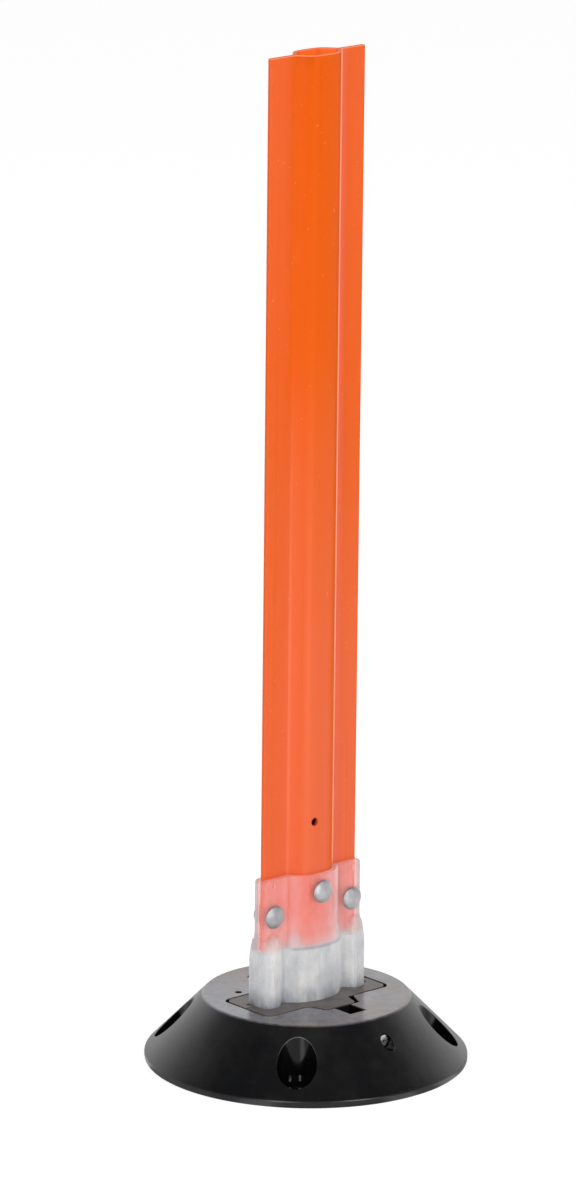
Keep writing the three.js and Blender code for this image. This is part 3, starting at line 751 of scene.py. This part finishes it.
class Finish:
    """A procedural material, built node by node round one Principled shader."""

    def __init__(self, name, coordinates="object"):
        self.material = bpy.data.materials.new(name)
        self.material.use_nodes = True
        self.tree = self.material.node_tree
        self.tree.nodes.clear()
        self.output = self.tree.nodes.new("ShaderNodeOutputMaterial")
        self.shader = self.tree.nodes.new("ShaderNodeBsdfPrincipled")
        self.link(self.shader.outputs[0], self.output.inputs["Surface"])
        if coordinates == "object":
            self.place = self.tree.nodes.new("ShaderNodeTexCoord").outputs["Object"]
        else:
            attribute = self.tree.nodes.new("ShaderNodeAttribute")
            attribute.attribute_name = coordinates
            self.place = attribute.outputs["Vector"]
        self.height = None

    def link(self, source, target):
        self.tree.links.new(source, target)

    def feed(self, target, value):
        """Links a socket or sets a plain value."""
        if isinstance(value, bpy.types.NodeSocket):
            self.link(value, target)
        elif target.type == "RGBA":
            target.default_value = (*value, 1.0)
        else:
            target.default_value = value

    def stretched(self, stretch):
        node = self.tree.nodes.new("ShaderNodeMapping")
        self.link(self.place, node.inputs["Vector"])
        node.inputs["Scale"].default_value = stretch
        return node.outputs[0]

    def noise(self, scale, detail=4.0, roughness=0.55, stretch=(1, 1, 1), distortion=0.0):
        node = self.tree.nodes.new("ShaderNodeTexNoise")
        self.link(self.stretched(stretch), node.inputs["Vector"])
        node.inputs["Scale"].default_value = scale
        node.inputs["Detail"].default_value = detail
        node.inputs["Roughness"].default_value = roughness
        node.inputs["Distortion"].default_value = distortion
        return node.outputs["Fac"]

    def span(self, value, low, high, to_low=0.0, to_high=1.0):
        """Goes from to_low at low to to_high at high, and stays level outside them."""
        node = self.tree.nodes.new("ShaderNodeMapRange")
        self.feed(node.inputs["Value"], value)
        node.inputs["From Min"].default_value = low
        node.inputs["From Max"].default_value = high
        node.inputs["To Min"].default_value = to_low
        node.inputs["To Max"].default_value = to_high
        return node.outputs[0]

    def math(self, operation, a, b=0.0):
        node = self.tree.nodes.new("ShaderNodeMath")
        node.operation = operation
        self.feed(node.inputs[0], a)
        self.feed(node.inputs[1], b)
        return node.outputs[0]

    def times(self, *values):
        return reduce(lambda a, b: self.math("MULTIPLY", a, b), values)

    def largest(self, *values):
        return reduce(lambda a, b: self.math("MAXIMUM", a, b), values)

    def less(self, a, b):
        return self.math("SUBTRACT", a, b)

    def size(self, value):
        """A value without its sign."""
        return self.math("ABSOLUTE", value)

    def mix(self, amount, a, b):
        node = self.tree.nodes.new("ShaderNodeMix")
        node.data_type = "RGBA"
        self.feed(node.inputs[0], amount)
        self.feed(node.inputs[6], a)
        self.feed(node.inputs[7], b)
        return node.outputs[2]

    def axis(self, letter):
        node = self.tree.nodes.new("ShaderNodeSeparateXYZ")
        self.link(self.place, node.inputs[0])
        return node.outputs[letter]

    def dot(self, direction):
        """How far a point lies along a direction."""
        node = self.tree.nodes.new("ShaderNodeVectorMath")
        node.operation = "DOT_PRODUCT"
        self.link(self.place, node.inputs[0])
        node.inputs[1].default_value = direction
        return node.outputs["Value"]

    def bump(self, height, distance, strength=1.0):
        node = self.tree.nodes.new("ShaderNodeBump")
        node.inputs["Strength"].default_value = strength
        node.inputs["Distance"].default_value = distance * MM
        self.link(height, node.inputs["Height"])
        if self.height is not None:
            self.link(self.height, node.inputs["Normal"])
        self.height = node.outputs[0]
        self.link(self.height, self.shader.inputs["Normal"])

    def set(self, **values):
        names = {
            "color": "Base Color",
            "roughness": "Roughness",
            "metallic": "Metallic",
            "specular": "Specular IOR Level",
            "subsurface": "Subsurface Weight",
            "scatter": "Subsurface Scale",
            "ior": "IOR",
            "glow": "Emission Color",
            "glow_strength": "Emission Strength",
        }
        for key, value in values.items():
            self.feed(self.shader.inputs[names[key]], value)


def black_plastic():
    """Glossy on the cone, grey and dirty on the flat top with a painted sheen, and painted dark as shade in
    the hollows.
    """
    f = Finish("black_moulded_plastic")
    x, y, z = f.axis("X"), f.axis("Y"), f.axis("Z")
    cloud = f.noise(14, 5, 0.6)
    specks = f.span(f.noise(900, 2, 0.7), 0.62, 0.72)
    scuffs = f.span(f.noise(60, 6, 0.75, (1, 1, 6)), 0.64, 0.74)
    smudges = f.span(f.noise(30, 7, 0.75), 0.46, 0.68)
    scratches = f.span(f.noise(26, 3, 0.5, (1, 1, 2.2), 3.0), 0.495, 0.505, -1.0, 1.0)
    scratches = f.less(1.0, f.size(scratches))
    scratches = f.times(scratches, f.span(f.noise(11, 3, 0.5), 0.55, 0.66))
    color = f.mix(f.span(cloud, 0.3, 0.7), (0.0070, 0.0073, 0.0085), (0.0105, 0.0108, 0.012))
    color = f.mix(f.times(smudges, 0.5), color, (0.034, 0.033, 0.033))
    color = f.mix(f.times(scratches, 0.35), color, (0.12, 0.12, 0.12))
    color = f.mix(f.times(specks, 0.25), color, (0.09, 0.09, 0.095))
    color = f.mix(f.times(scuffs, 0.25), color, (0.11, 0.11, 0.115))

    # The flat top is lighter and bluer: partly dirt, partly a painted sheen for the light it reflects.
    flat_top = f.span(z, TOP - 1.1 * MM, TOP - 0.2 * MM)
    dust_and_sheen = f.times(f.span(f.noise(60, 7, 0.72), 0.36, 0.62, 0.45, 1.05), flat_top)
    grime_and_sheen = f.mix(f.span(f.noise(17, 6, 0.7), 0.42, 0.58), (0.262, 0.268, 0.325), (0.245, 0.208, 0.192))
    color = f.mix(dust_and_sheen, color, grime_and_sheen)

    # Depth under the cone's skin tells an edge, lightened partly as wear and partly as a painted highlight,
    # from the inside of a pocket, bore or well, painted dark as shade.
    from_axis = f.math("SQRT", f.math("ADD", f.times(x, x), f.times(y, y)))
    skin_at = f.span(z, (LIP_HEIGHT + 1) * MM, TOP, BASE_RADIUS - 0.55 * MM, BASE_TOP_RADIUS * MM)
    depth = f.less(skin_at, from_axis)
    below_top = f.span(z, TOP - 1.0 * MM, TOP - 0.5 * MM, 1.0, 0.0)
    edge = f.times(f.span(depth, 0.06 * MM, 0.16 * MM), f.span(depth, 0.4 * MM, 0.6 * MM, 1.0, 0.0))
    edge = f.times(edge, below_top)
    hollow = f.times(f.span(depth, 0.5 * MM, 1.0 * MM), below_top)
    color = f.mix(f.times(edge, 0.8), color, (0.17, 0.17, 0.175))
    color = f.mix(hollow, color, (0.0030, 0.0032, 0.0036))

    # The anchor pockets lie on the diagonals, where x times y is large. Their walls are smoother.
    in_pocket = f.span(f.size(f.times(x, y)), 900 * MM**2, 1200 * MM**2)
    rough = f.mix(flat_top, f.span(cloud, 0.3, 0.7, 0.28, 0.36), f.span(cloud, 0.3, 0.7, 0.17, 0.25))
    rough = f.mix(f.times(hollow, in_pocket), rough, (0.13, 0.13, 0.13))
    f.set(color=color, roughness=rough, specular=f.span(flat_top, 0.0, 1.0, 0.5, 0.95))
    f.bump(f.noise(1500, 3, 0.6), 0.03, 0.5)
    f.bump(f.noise(120, 3, 0.5), 0.08, 0.3)
    f.bump(f.noise(90, 2, 0.5, (0.05, 0.05, 12)), 0.03, 0.4)
    return f.material


def grey_plastic():
    """Brownish grey and stained on top, with painted shade down the gaps."""
    f = Finish("grey_insert_plastic")
    cloud = f.noise(55, 7, 0.72)
    stain = f.noise(19, 5, 0.65)
    gap_shade = f.span(f.axis("Z"), TOP - 1.0 * MM, TOP - 0.3 * MM, 1.0, 0.0)
    color = f.mix(f.span(cloud, 0.40, 0.62), (0.135, 0.112, 0.100), (0.262, 0.228, 0.208))
    color = f.mix(f.span(stain, 0.5, 0.75, 0, 0.6), color, (0.120, 0.096, 0.084))
    # Painted shade on the sides, down in the gap round the insert.
    color = f.mix(gap_shade, color, (0.006, 0.006, 0.006))
    f.set(color=color, roughness=f.span(cloud, 0.3, 0.7, 0.36, 0.5))
    f.bump(f.noise(1200, 3, 0.6), 0.04, 0.6)
    f.bump(f.noise(160, 3, 0.5), 0.1, 0.35)
    return f.material


def orange_plastic():
    """Drawn orange plastic: pinker low down, with a painted sheen on the fins, and dull towards the top."""
    f = Finish("orange_extruded_plastic")
    x, y, z = f.axis("X"), f.axis("Y"), f.axis("Z")
    cloud = f.noise(9, 4, 0.5, (1, 1, 0.25))
    draw = f.noise(260, 3, 0.5, (1, 1, 0.004))
    specks = f.span(f.noise(420, 2, 0.6), 0.7, 0.76)
    rubs = f.span(f.noise(38, 7, 0.8, (1.4, 1.4, 0.5)), 0.69, 0.75)
    dull = f.span(z, *[at * MM for at in SHINE_FADES])
    color = f.mix(f.span(cloud, 0.3, 0.7), (0.730, 0.102, 0.005), (0.760, 0.113, 0.007))
    color = f.mix(f.span(draw, 0.35, 0.65, 0, 0.14), color, (0.80, 0.14, 0.025))
    low_down = f.times(f.span(z, post_low.z, post_low.z + 0.4, 1.0, 0.0), 0.8)
    # A painted sheen, stronger towards the top, on the fins and the right of the tube's face.
    painted_sheen = f.largest(f.span(f.size(x), 18 * MM, 26 * MM), f.span(x, 2 * MM, 17 * MM))
    painted_sheen = f.times(painted_sheen, f.span(z, *[at * MM for at in PALER_TOWARDS], 0.2, 0.5))
    color = f.mix(f.largest(low_down, painted_sheen), color, (0.84, 0.14, 0.05))
    color = f.mix(f.times(specks, 0.35), color, (0.92, 0.36, 0.20))
    color = f.mix(f.times(rubs, 0.25), color, (0.93, 0.40, 0.26))

    # Painted highlights: pale lines where the tube meets the fins, strongest on the right, and along its
    # left shoulder.
    on_right = f.span(x, -5 * MM, 5 * MM)
    on_left = f.span(dull, 0.0, 1.0, 0.25, 0.0)
    from_crease = f.size(f.less(f.size(x), CREASE_AT * MM))
    beside = f.times(f.span(from_crease, 0.5 * MM, 6 * MM, 0.75, 0.0), f.largest(on_right, on_left))
    from_shoulder = f.size(f.math("ADD", x, SHOULDER_LINE_AT * MM))
    at_shoulder = f.times(f.span(from_shoulder, 0.6 * MM, 3.0 * MM, 0.18, 0.0), f.less(1.0, dull))
    in_crease = f.span(from_crease, 0.5 * MM, 1.1 * MM, 1.0, 0.0)
    in_crease = f.times(in_crease, f.largest(on_right, f.times(on_left, 0.5)))
    color = f.mix(beside, color, (0.95, 0.19, 0.115))
    color = f.mix(at_shoulder, color, (0.93, 0.19, 0.09))
    color = f.mix(in_crease, color, (1.0, 0.40, 0.25))

    # The sawn top edge, paler with wear and given a painted glow, and the inside of the tube near its top,
    # given a painted glow for the light that reaches it through the wall.
    top_wear_and_glow = f.times(f.span(z, post_high.z - 0.7 * MM, post_high.z - 0.2 * MM), 0.8)
    color = f.mix(top_wear_and_glow, color, (0.92, 0.25, 0.12))
    across = f.math("POWER", f.math("DIVIDE", x, 17 * MM), 2.0)
    deep = f.math("POWER", f.math("DIVIDE", y, 9.6 * MM), 2.0)
    inside = f.span(f.math("ADD", across, deep), 0.9, 1.02, 1.0, 0.0)
    lit_inside = f.times(inside, f.span(z, post_high.z - 0.12, post_high.z))
    glow = f.mix(top_wear_and_glow, (0.80, 0.21, 0.035), (0.95, 0.32, 0.22))
    f.set(glow=glow, glow_strength=f.largest(f.times(lit_inside, 0.5), f.times(top_wear_and_glow, 0.55)))

    slanting = f.times(f.span(x, 5 * MM, 10 * MM), f.span(x, 20 * MM, 21.5 * MM, 1.0, 0.0))
    slanting = f.largest(slanting, f.span(x, -13 * MM, -9 * MM, 0.42, 0.0))
    matt = f.largest(inside, top_wear_and_glow, in_crease, slanting, f.times(dull, 0.75))
    f.set(color=color, roughness=f.span(draw, 0.3, 0.7, 0.26, 0.34))
    f.set(specular=f.span(matt, 0.0, 0.8, 0.30, 0.0), subsurface=0.08, scatter=0.002)
    f.bump(draw, 0.012, 0.4)
    f.bump(f.noise(700, 3, 0.5), 0.015, 0.4)
    return f.material


def milky_rubber():
    """Clear urethane: see-through where its wall is thin, milky where it is thick."""
    f = Finish("milky_urethane", "rest_place")
    x, y, z = f.axis("X"), f.axis("Y"), f.axis("Z")
    attribute = f.tree.nodes.new("ShaderNodeAttribute")
    attribute.attribute_name = "milk"
    milk = attribute.outputs["Fac"]
    streaks = f.noise(240, 4, 0.6, (1, 1, 0.03))
    cloud = f.noise(60, 7, 0.72, (1, 1, 0.55))
    color = f.mix(f.span(cloud, 0.38, 0.62), (0.60, 0.61, 0.63), (0.87, 0.86, 0.845))
    color = f.mix(f.span(streaks, 0.38, 0.64, 0, 0.42), color, (0.56, 0.58, 0.61))
    # Painted shade, darker and bluer, just above the base.
    foot_shade = f.span(z, TOP + 1 * MM, TOP + 11 * MM, 1.0, 0.0)
    foot_shade = f.times(foot_shade, f.span(f.noise(70, 4, 0.6, (1, 1, 0.4)), 0.35, 0.65))
    color = f.mix(f.times(foot_shade, 0.88), color, (0.26, 0.30, 0.38))

    # Where the line of sight crosses the plane of the fins: over the post, in the band beside its
    # edge where the wall bends the light, or in the bare rim of the sleeve.
    geometry = f.tree.nodes.new("ShaderNodeNewGeometry")
    toward = f.tree.nodes.new("ShaderNodeSeparateXYZ")
    f.link(geometry.outputs["Incoming"], toward.inputs[0])
    sideways = f.math("DIVIDE", toward.outputs["X"], toward.outputs["Y"])
    seen_at = f.size(f.less(x, f.times(sideways, y)))
    post_foot = post_low.z
    above_foot = f.span(z, post_foot - 1 * MM, post_foot + 2 * MM)
    over_post = f.times(above_foot, f.span(seen_at, 40.8 * MM, 41.6 * MM, 1.0, 0.0))
    bent_light = f.times(over_post, f.span(seen_at, 39.5 * MM, 40.1 * MM))
    at_rim = f.times(above_foot, f.span(seen_at, 40.8 * MM, 41.6 * MM))
    off_ribs = f.less(1.0, f.times(f.span(milk, 0.42, 0.62), 0.6))
    flank = f.times(f.span(x, 15 * MM, 18 * MM), f.span(x, 24 * MM, 28 * MM, 1.0, 0.0), above_foot)
    # Painted light: the pink over the post and in the band beside its edge stands for orange light
    # scattered from the post and bent by the wall; the right flank is painted greyer, with less of it.
    color = f.mix(f.times(over_post, off_ribs), color, (1.0, 0.60, 0.58))
    color = f.mix(f.times(flank, 0.5), color, (0.62, 0.50, 0.49))
    color = f.mix(bent_light, color, (1.0, 0.58, 0.55))
    color = f.mix(f.times(at_rim, 0.7), color, (0.70, 0.57, 0.57))

    # A painted shadow line where the end of the post's tube stands in the milky body.
    at_foot = f.span(f.size(f.less(z, post_foot - 0.6 * MM)), 0.2 * MM, 1.5 * MM, 1.0, 0.0)
    under_tube = f.span(f.size(x), 19 * MM, 22 * MM, 1.0, 0.0)
    color = f.mix(f.times(at_foot, under_tube, 0.6), color, (0.34, 0.28, 0.36))

    # A painted glow, with the base colour darkened to match, stands for light scattered inside the milky
    # body and flattens its shading; it is weaker in the painted shade at the foot.
    glow = f.span(above_foot, 0.0, 1.0, 0.26, 0.19)
    f.set(glow=color, glow_strength=f.times(glow, f.span(foot_shade, 0.0, 1.0, 1.0, 0.3)))
    f.set(color=f.mix(0.30, color, (0.0, 0.0, 0.0)), roughness=f.span(cloud, 0.3, 0.7, 0.26, 0.38))
    f.set(ior=1.42, subsurface=0.9, scatter=0.008)
    f.shader.inputs["Subsurface Radius"].default_value = (1.0, 0.95, 0.92)
    f.bump(streaks, 0.25, 0.45)
    f.bump(f.noise(420, 3, 0.5), 0.05, 0.4)

    # The skin hides more where it is seen at a slant, and casts a lighter shadow than a solid one.
    patchy = f.span(f.noise(90, 5, 0.6, (1, 1, 0.3)), 0.3, 0.7, 0.7, 1.4)
    solid = f.span(milk, 0.8, 0.97)
    milk = f.largest(f.times(milk, patchy), f.times(at_rim, RIM_MILK), f.times(bent_light, BENT_LIGHT_MILK))
    clear = f.largest(f.less(1.0, f.largest(milk, solid)), 0.0)
    weight = f.tree.nodes.new("ShaderNodeLayerWeight")
    weight.inputs["Blend"].default_value = 0.5
    slant = f.largest(f.less(1.0, weight.outputs["Facing"]), 0.15)
    hidden = f.less(1.0, f.math("POWER", clear, f.math("POWER", slant, -1.5)))
    path = f.tree.nodes.new("ShaderNodeLightPath")
    shade = f.less(1.0, f.times(path.outputs["Is Shadow Ray"], 0.7))
    through = f.tree.nodes.new("ShaderNodeBsdfTransparent")
    through.inputs["Color"].default_value = (0.985, 0.955, 0.965, 1)
    mixer = f.tree.nodes.new("ShaderNodeMixShader")
    f.link(f.times(hidden, shade), mixer.inputs[0])
    f.link(through.outputs[0], mixer.inputs[1])
    f.link(f.shader.outputs[0], mixer.inputs[2])
    f.link(mixer.outputs[0], f.output.inputs["Surface"])
    return f.material


def bare_metal(name, light, dark, low_rough, high_rough):
    """Dull metal with clouds and pits in its surface."""
    f = Finish(name)
    cloud = f.noise(220, 5, 0.6)
    pits = f.span(f.noise(1100, 2, 0.6), 0.62, 0.72)
    color = f.mix(f.span(cloud, 0.3, 0.7), light, dark)
    color = f.mix(f.times(pits, 0.35), color, dark)
    f.set(color=color, metallic=1.0, roughness=f.span(cloud, 0.3, 0.7, low_rough, high_rough))
    f.bump(f.noise(380, 4, 0.6), 0.06, 0.5)
    return f.material


FINISHES = {
    "black_base": black_plastic(),
    "grey_insert": grey_plastic(),
    "orange_post": orange_plastic(),
    "clear_boot": milky_rubber(),
    "rivet_aluminium": bare_metal("satin_aluminium", (0.66, 0.66, 0.68), (0.52, 0.52, 0.54), 0.46, 0.6),
    "spring_steel": bare_metal("rolled_spring_steel", (0.78, 0.78, 0.79), (0.46, 0.46, 0.47), 0.3, 0.45),
    "zinc_steel": bare_metal("zinc_plated_steel", (0.62, 0.63, 0.66), (0.42, 0.43, 0.46), 0.3, 0.45),
}


def dress(obj, slot):
    """Gives a piece the finish for a slot."""
    obj.data.materials.clear()
    obj.data.materials.append(FINISHES[slot])
    return obj


def fit_out(obj, slot, body, node):
    """Dresses a piece, rides it on a body and lets it stand for its CAD node."""
    dress(obj, slot)
    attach(obj, body)
    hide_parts(node)


fit_out(make_base(), "black_base", "base", "base_body")
fit_out(make_insert_half("insert_front", FRONT), "grey_insert", "base", "insert_front_half")
fit_out(make_insert_half("insert_rear", REAR), "grey_insert", "base", "insert_rear_half")
fit_out(make_post(), "orange_post", "upright", "post")

_, right_at, (_, centre_z) = rivet_places()
SIDE_HEAD = (SIDE_RIVET_SEAT, -side_rivet_low.y / MM, -side_rivet_high.y / MM)
CENTRE_HEAD = (CENTRE_RIVET_SEAT, centre_rivet_high.y / MM, centre_rivet_low.y / MM)
for sign, word in ((-1, "left"), (1, "right")):
    place = (sign * right_at[0], 0, right_at[1])
    rivet = make_rivet(f"rivet_{word}_domed", place, *SIDE_HEAD, FRONT, 3.1 + sign)
    fit_out(rivet, "rivet_aluminium", "upright", f"rivet_{word}")
    washer = make_washer(f"rivet_{word}_backing", place, washer_low.y / MM, washer_high.y / MM)
    fit_out(washer, "rivet_aluminium", "upright", f"rivet_washer_{word}")
for side, word in ((FRONT, "front"), (REAR, "rear")):
    rivet = make_rivet(f"rivet_{word}_of_bulge", (0, 0, centre_z), *CENTRE_HEAD, side, 7.7 + side)
    fit_out(rivet, "rivet_aluminium", "upright", f"rivet_centre_{word}")
    pin = make_locking_pin(f"spring_pin_{word}", side)
    fit_out(pin, "spring_steel", f"pin_{word}", f"locking_pin_{word}")

boot = dress(make_boot(), "clear_boot")
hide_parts("hinge_boot")
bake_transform(boot)

for name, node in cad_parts.items():
    if name.startswith("foot_"):
        node.data.materials.clear()
        node.data.materials.append(FINISHES["zinc_steel"])

# ------------------------------------------------------------ floor and lights

AZIMUTH = math.radians(41.231)
AWAY = Vector((math.sin(AZIMUTH), math.cos(AZIMUTH), 0))
ACROSS = Vector((math.cos(AZIMUTH), -math.sin(AZIMUTH), 0))
UP = Vector((0, 0, 1))
FLOOR_RADIUS = 14.0
FLOOR_Z = -0.3 * MM
FLOOR_GLOW = 0.78
FLOOR_STRIPS = (-84, -18, 38, 64)
FLOOR_STRIP_GLOW = 1.3
SKY_BEHIND = 1.5
SKY_FRONT = 0.2
SKY_OVERHEAD = 0.12
LAMPS = (("key_left", -18, 22), ("key_right", 38, 24))
LAMP_DISTANCE = 2.6
LAMP_HEIGHT = 0.95
LAMP_WIDTH = 0.36
LAMP_LENGTH = 1.5
LAMP_AIM = Vector((0, 0, 0.25))


def make_floor():
    """A pale glowing floor. Shiny parts see it dark in front of the object, apart from a few strips."""
    outline = arc(0, 0, FLOOR_RADIUS, FLOOR_RADIUS, 0, 360, 96)[:-1]
    points = [(x, y, FLOOR_Z) for x, y in outline]
    mesh = bpy.data.meshes.new("studio_floor")
    mesh.from_pydata(points, [], [tuple(range(len(points)))])
    floor = new_object("studio_floor", mesh)
    f = Finish("pale_floor")
    behind = f.span(f.dot(AWAY), -0.25, 0.35)
    strips = 0.0
    for degrees in FLOOR_STRIPS:
        turn = math.radians(degrees)
        off_line = f.size(f.dot(ACROSS * math.cos(turn) + AWAY * math.sin(turn)))
        along_line = f.dot(ACROSS * math.sin(turn) - AWAY * math.cos(turn))
        ratio = f.math("DIVIDE", off_line, f.largest(along_line, 0.001))
        strips = f.math("ADD", strips, f.span(ratio, 0.06, 0.16, FLOOR_STRIP_GLOW, 0.0))
    seen = f.math("MINIMUM", f.math("ADD", behind, strips), FLOOR_STRIP_GLOW)
    path = f.tree.nodes.new("ShaderNodeLightPath")
    lost = f.times(path.outputs["Is Glossy Ray"], f.less(1.0, seen))
    f.set(color=(0.90, 0.90, 0.90), roughness=0.9, specular=0.0)
    f.set(glow=(1, 1, 1), glow_strength=f.times(FLOOR_GLOW, f.less(1.0, lost)))
    floor.data.materials.append(f.material)


def softbox(name, degrees, power):
    """An upright strip lamp, turned by an angle from the camera's side."""
    light = bpy.data.lights.new(name, "AREA")
    light.shape = "RECTANGLE"
    light.size, light.size_y = LAMP_WIDTH, LAMP_LENGTH
    light.energy = power
    turn = math.radians(degrees)
    lamp = new_object(name, light)
    lamp.location = (ACROSS * math.sin(turn) - AWAY * math.cos(turn)) * LAMP_DISTANCE + UP * LAMP_HEIGHT
    lamp.rotation_mode = "QUATERNION"
    lamp.rotation_quaternion = (LAMP_AIM - lamp.location).to_track_quat("-Z", "Y")


def make_world():
    """Bright behind the object and dim in front, with a plain pale backdrop for the camera."""
    world = bpy.data.worlds.new("studio")
    bpy.context.scene.world = world
    world.use_nodes = True
    tree = world.node_tree
    tree.nodes.clear()
    output = tree.nodes.new("ShaderNodeOutputWorld")
    coordinates = tree.nodes.new("ShaderNodeTexCoord")

    def ramp(source, start, end, low, high):
        node = tree.nodes.new("ShaderNodeMapRange")
        node.interpolation_type = "SMOOTHSTEP"
        node.inputs["From Min"].default_value = start
        node.inputs["From Max"].default_value = end
        node.inputs["To Min"].default_value = low
        node.inputs["To Max"].default_value = high
        tree.links.new(source, node.inputs["Value"])
        return node.outputs[0]

    def along(direction):
        node = tree.nodes.new("ShaderNodeVectorMath")
        node.operation = "DOT_PRODUCT"
        node.inputs[1].default_value = direction
        tree.links.new(coordinates.outputs["Generated"], node.inputs[0])
        return node.outputs["Value"]

    behind = ramp(along(AWAY), -0.1, 0.75, SKY_FRONT, SKY_BEHIND)
    low_down = ramp(along(UP), 0.35, 0.75, 1.0, SKY_OVERHEAD)
    strength = tree.nodes.new("ShaderNodeMath")
    strength.operation = "MULTIPLY"
    tree.links.new(behind, strength.inputs[0])
    tree.links.new(low_down, strength.inputs[1])
    lit = tree.nodes.new("ShaderNodeBackground")
    tree.links.new(strength.outputs[0], lit.inputs["Strength"])
    plain = tree.nodes.new("ShaderNodeBackground")
    plain.inputs["Strength"].default_value = 1.0
    path = tree.nodes.new("ShaderNodeLightPath")
    mixer = tree.nodes.new("ShaderNodeMixShader")
    tree.links.new(path.outputs["Is Camera Ray"], mixer.inputs[0])
    tree.links.new(lit.outputs[0], mixer.inputs[1])
    tree.links.new(plain.outputs[0], mixer.inputs[2])
    tree.links.new(mixer.outputs[0], output.inputs["Surface"])


make_floor()
make_world()
for name, degrees, power in LAMPS:
    softbox(name, degrees, power)

# ---------------------------------------------------------------------- camera

CAMERA_DISTANCE = 4.460
CAMERA_HEIGHT = 1.5005
CAMERA_PITCH = math.radians(15.099)
CAMERA_YAW = math.radians(-0.182)
CAMERA_ROLL = math.radians(0.593)
FOCAL_LENGTH = 224.02
SENSOR = 36.0


def make_camera():
    """The camera looks across the post's corner, a little from above, through a long lens."""
    heading = AWAY * math.cos(CAMERA_YAW) + ACROSS * math.sin(CAMERA_YAW)
    level = ACROSS * math.cos(CAMERA_YAW) - AWAY * math.sin(CAMERA_YAW)
    ahead = heading * math.cos(CAMERA_PITCH) - UP * math.sin(CAMERA_PITCH)
    above = level.cross(ahead)
    right = level * math.cos(CAMERA_ROLL) + above * math.sin(CAMERA_ROLL)
    top = above * math.cos(CAMERA_ROLL) - level * math.sin(CAMERA_ROLL)
    data = bpy.data.cameras.new("camera")
    data.sensor_fit = "AUTO"
    data.sensor_width = SENSOR
    data.lens = FOCAL_LENGTH
    data.clip_end = 100
    camera = new_object("camera", data)
    turn = Matrix((right, top, -ahead)).transposed().to_4x4()
    camera.matrix_world = Matrix.Translation(-AWAY * CAMERA_DISTANCE + UP * CAMERA_HEIGHT) @ turn
    bpy.context.scene.camera = camera


make_camera()
bpy.context.scene.view_settings.view_transform = "Standard"
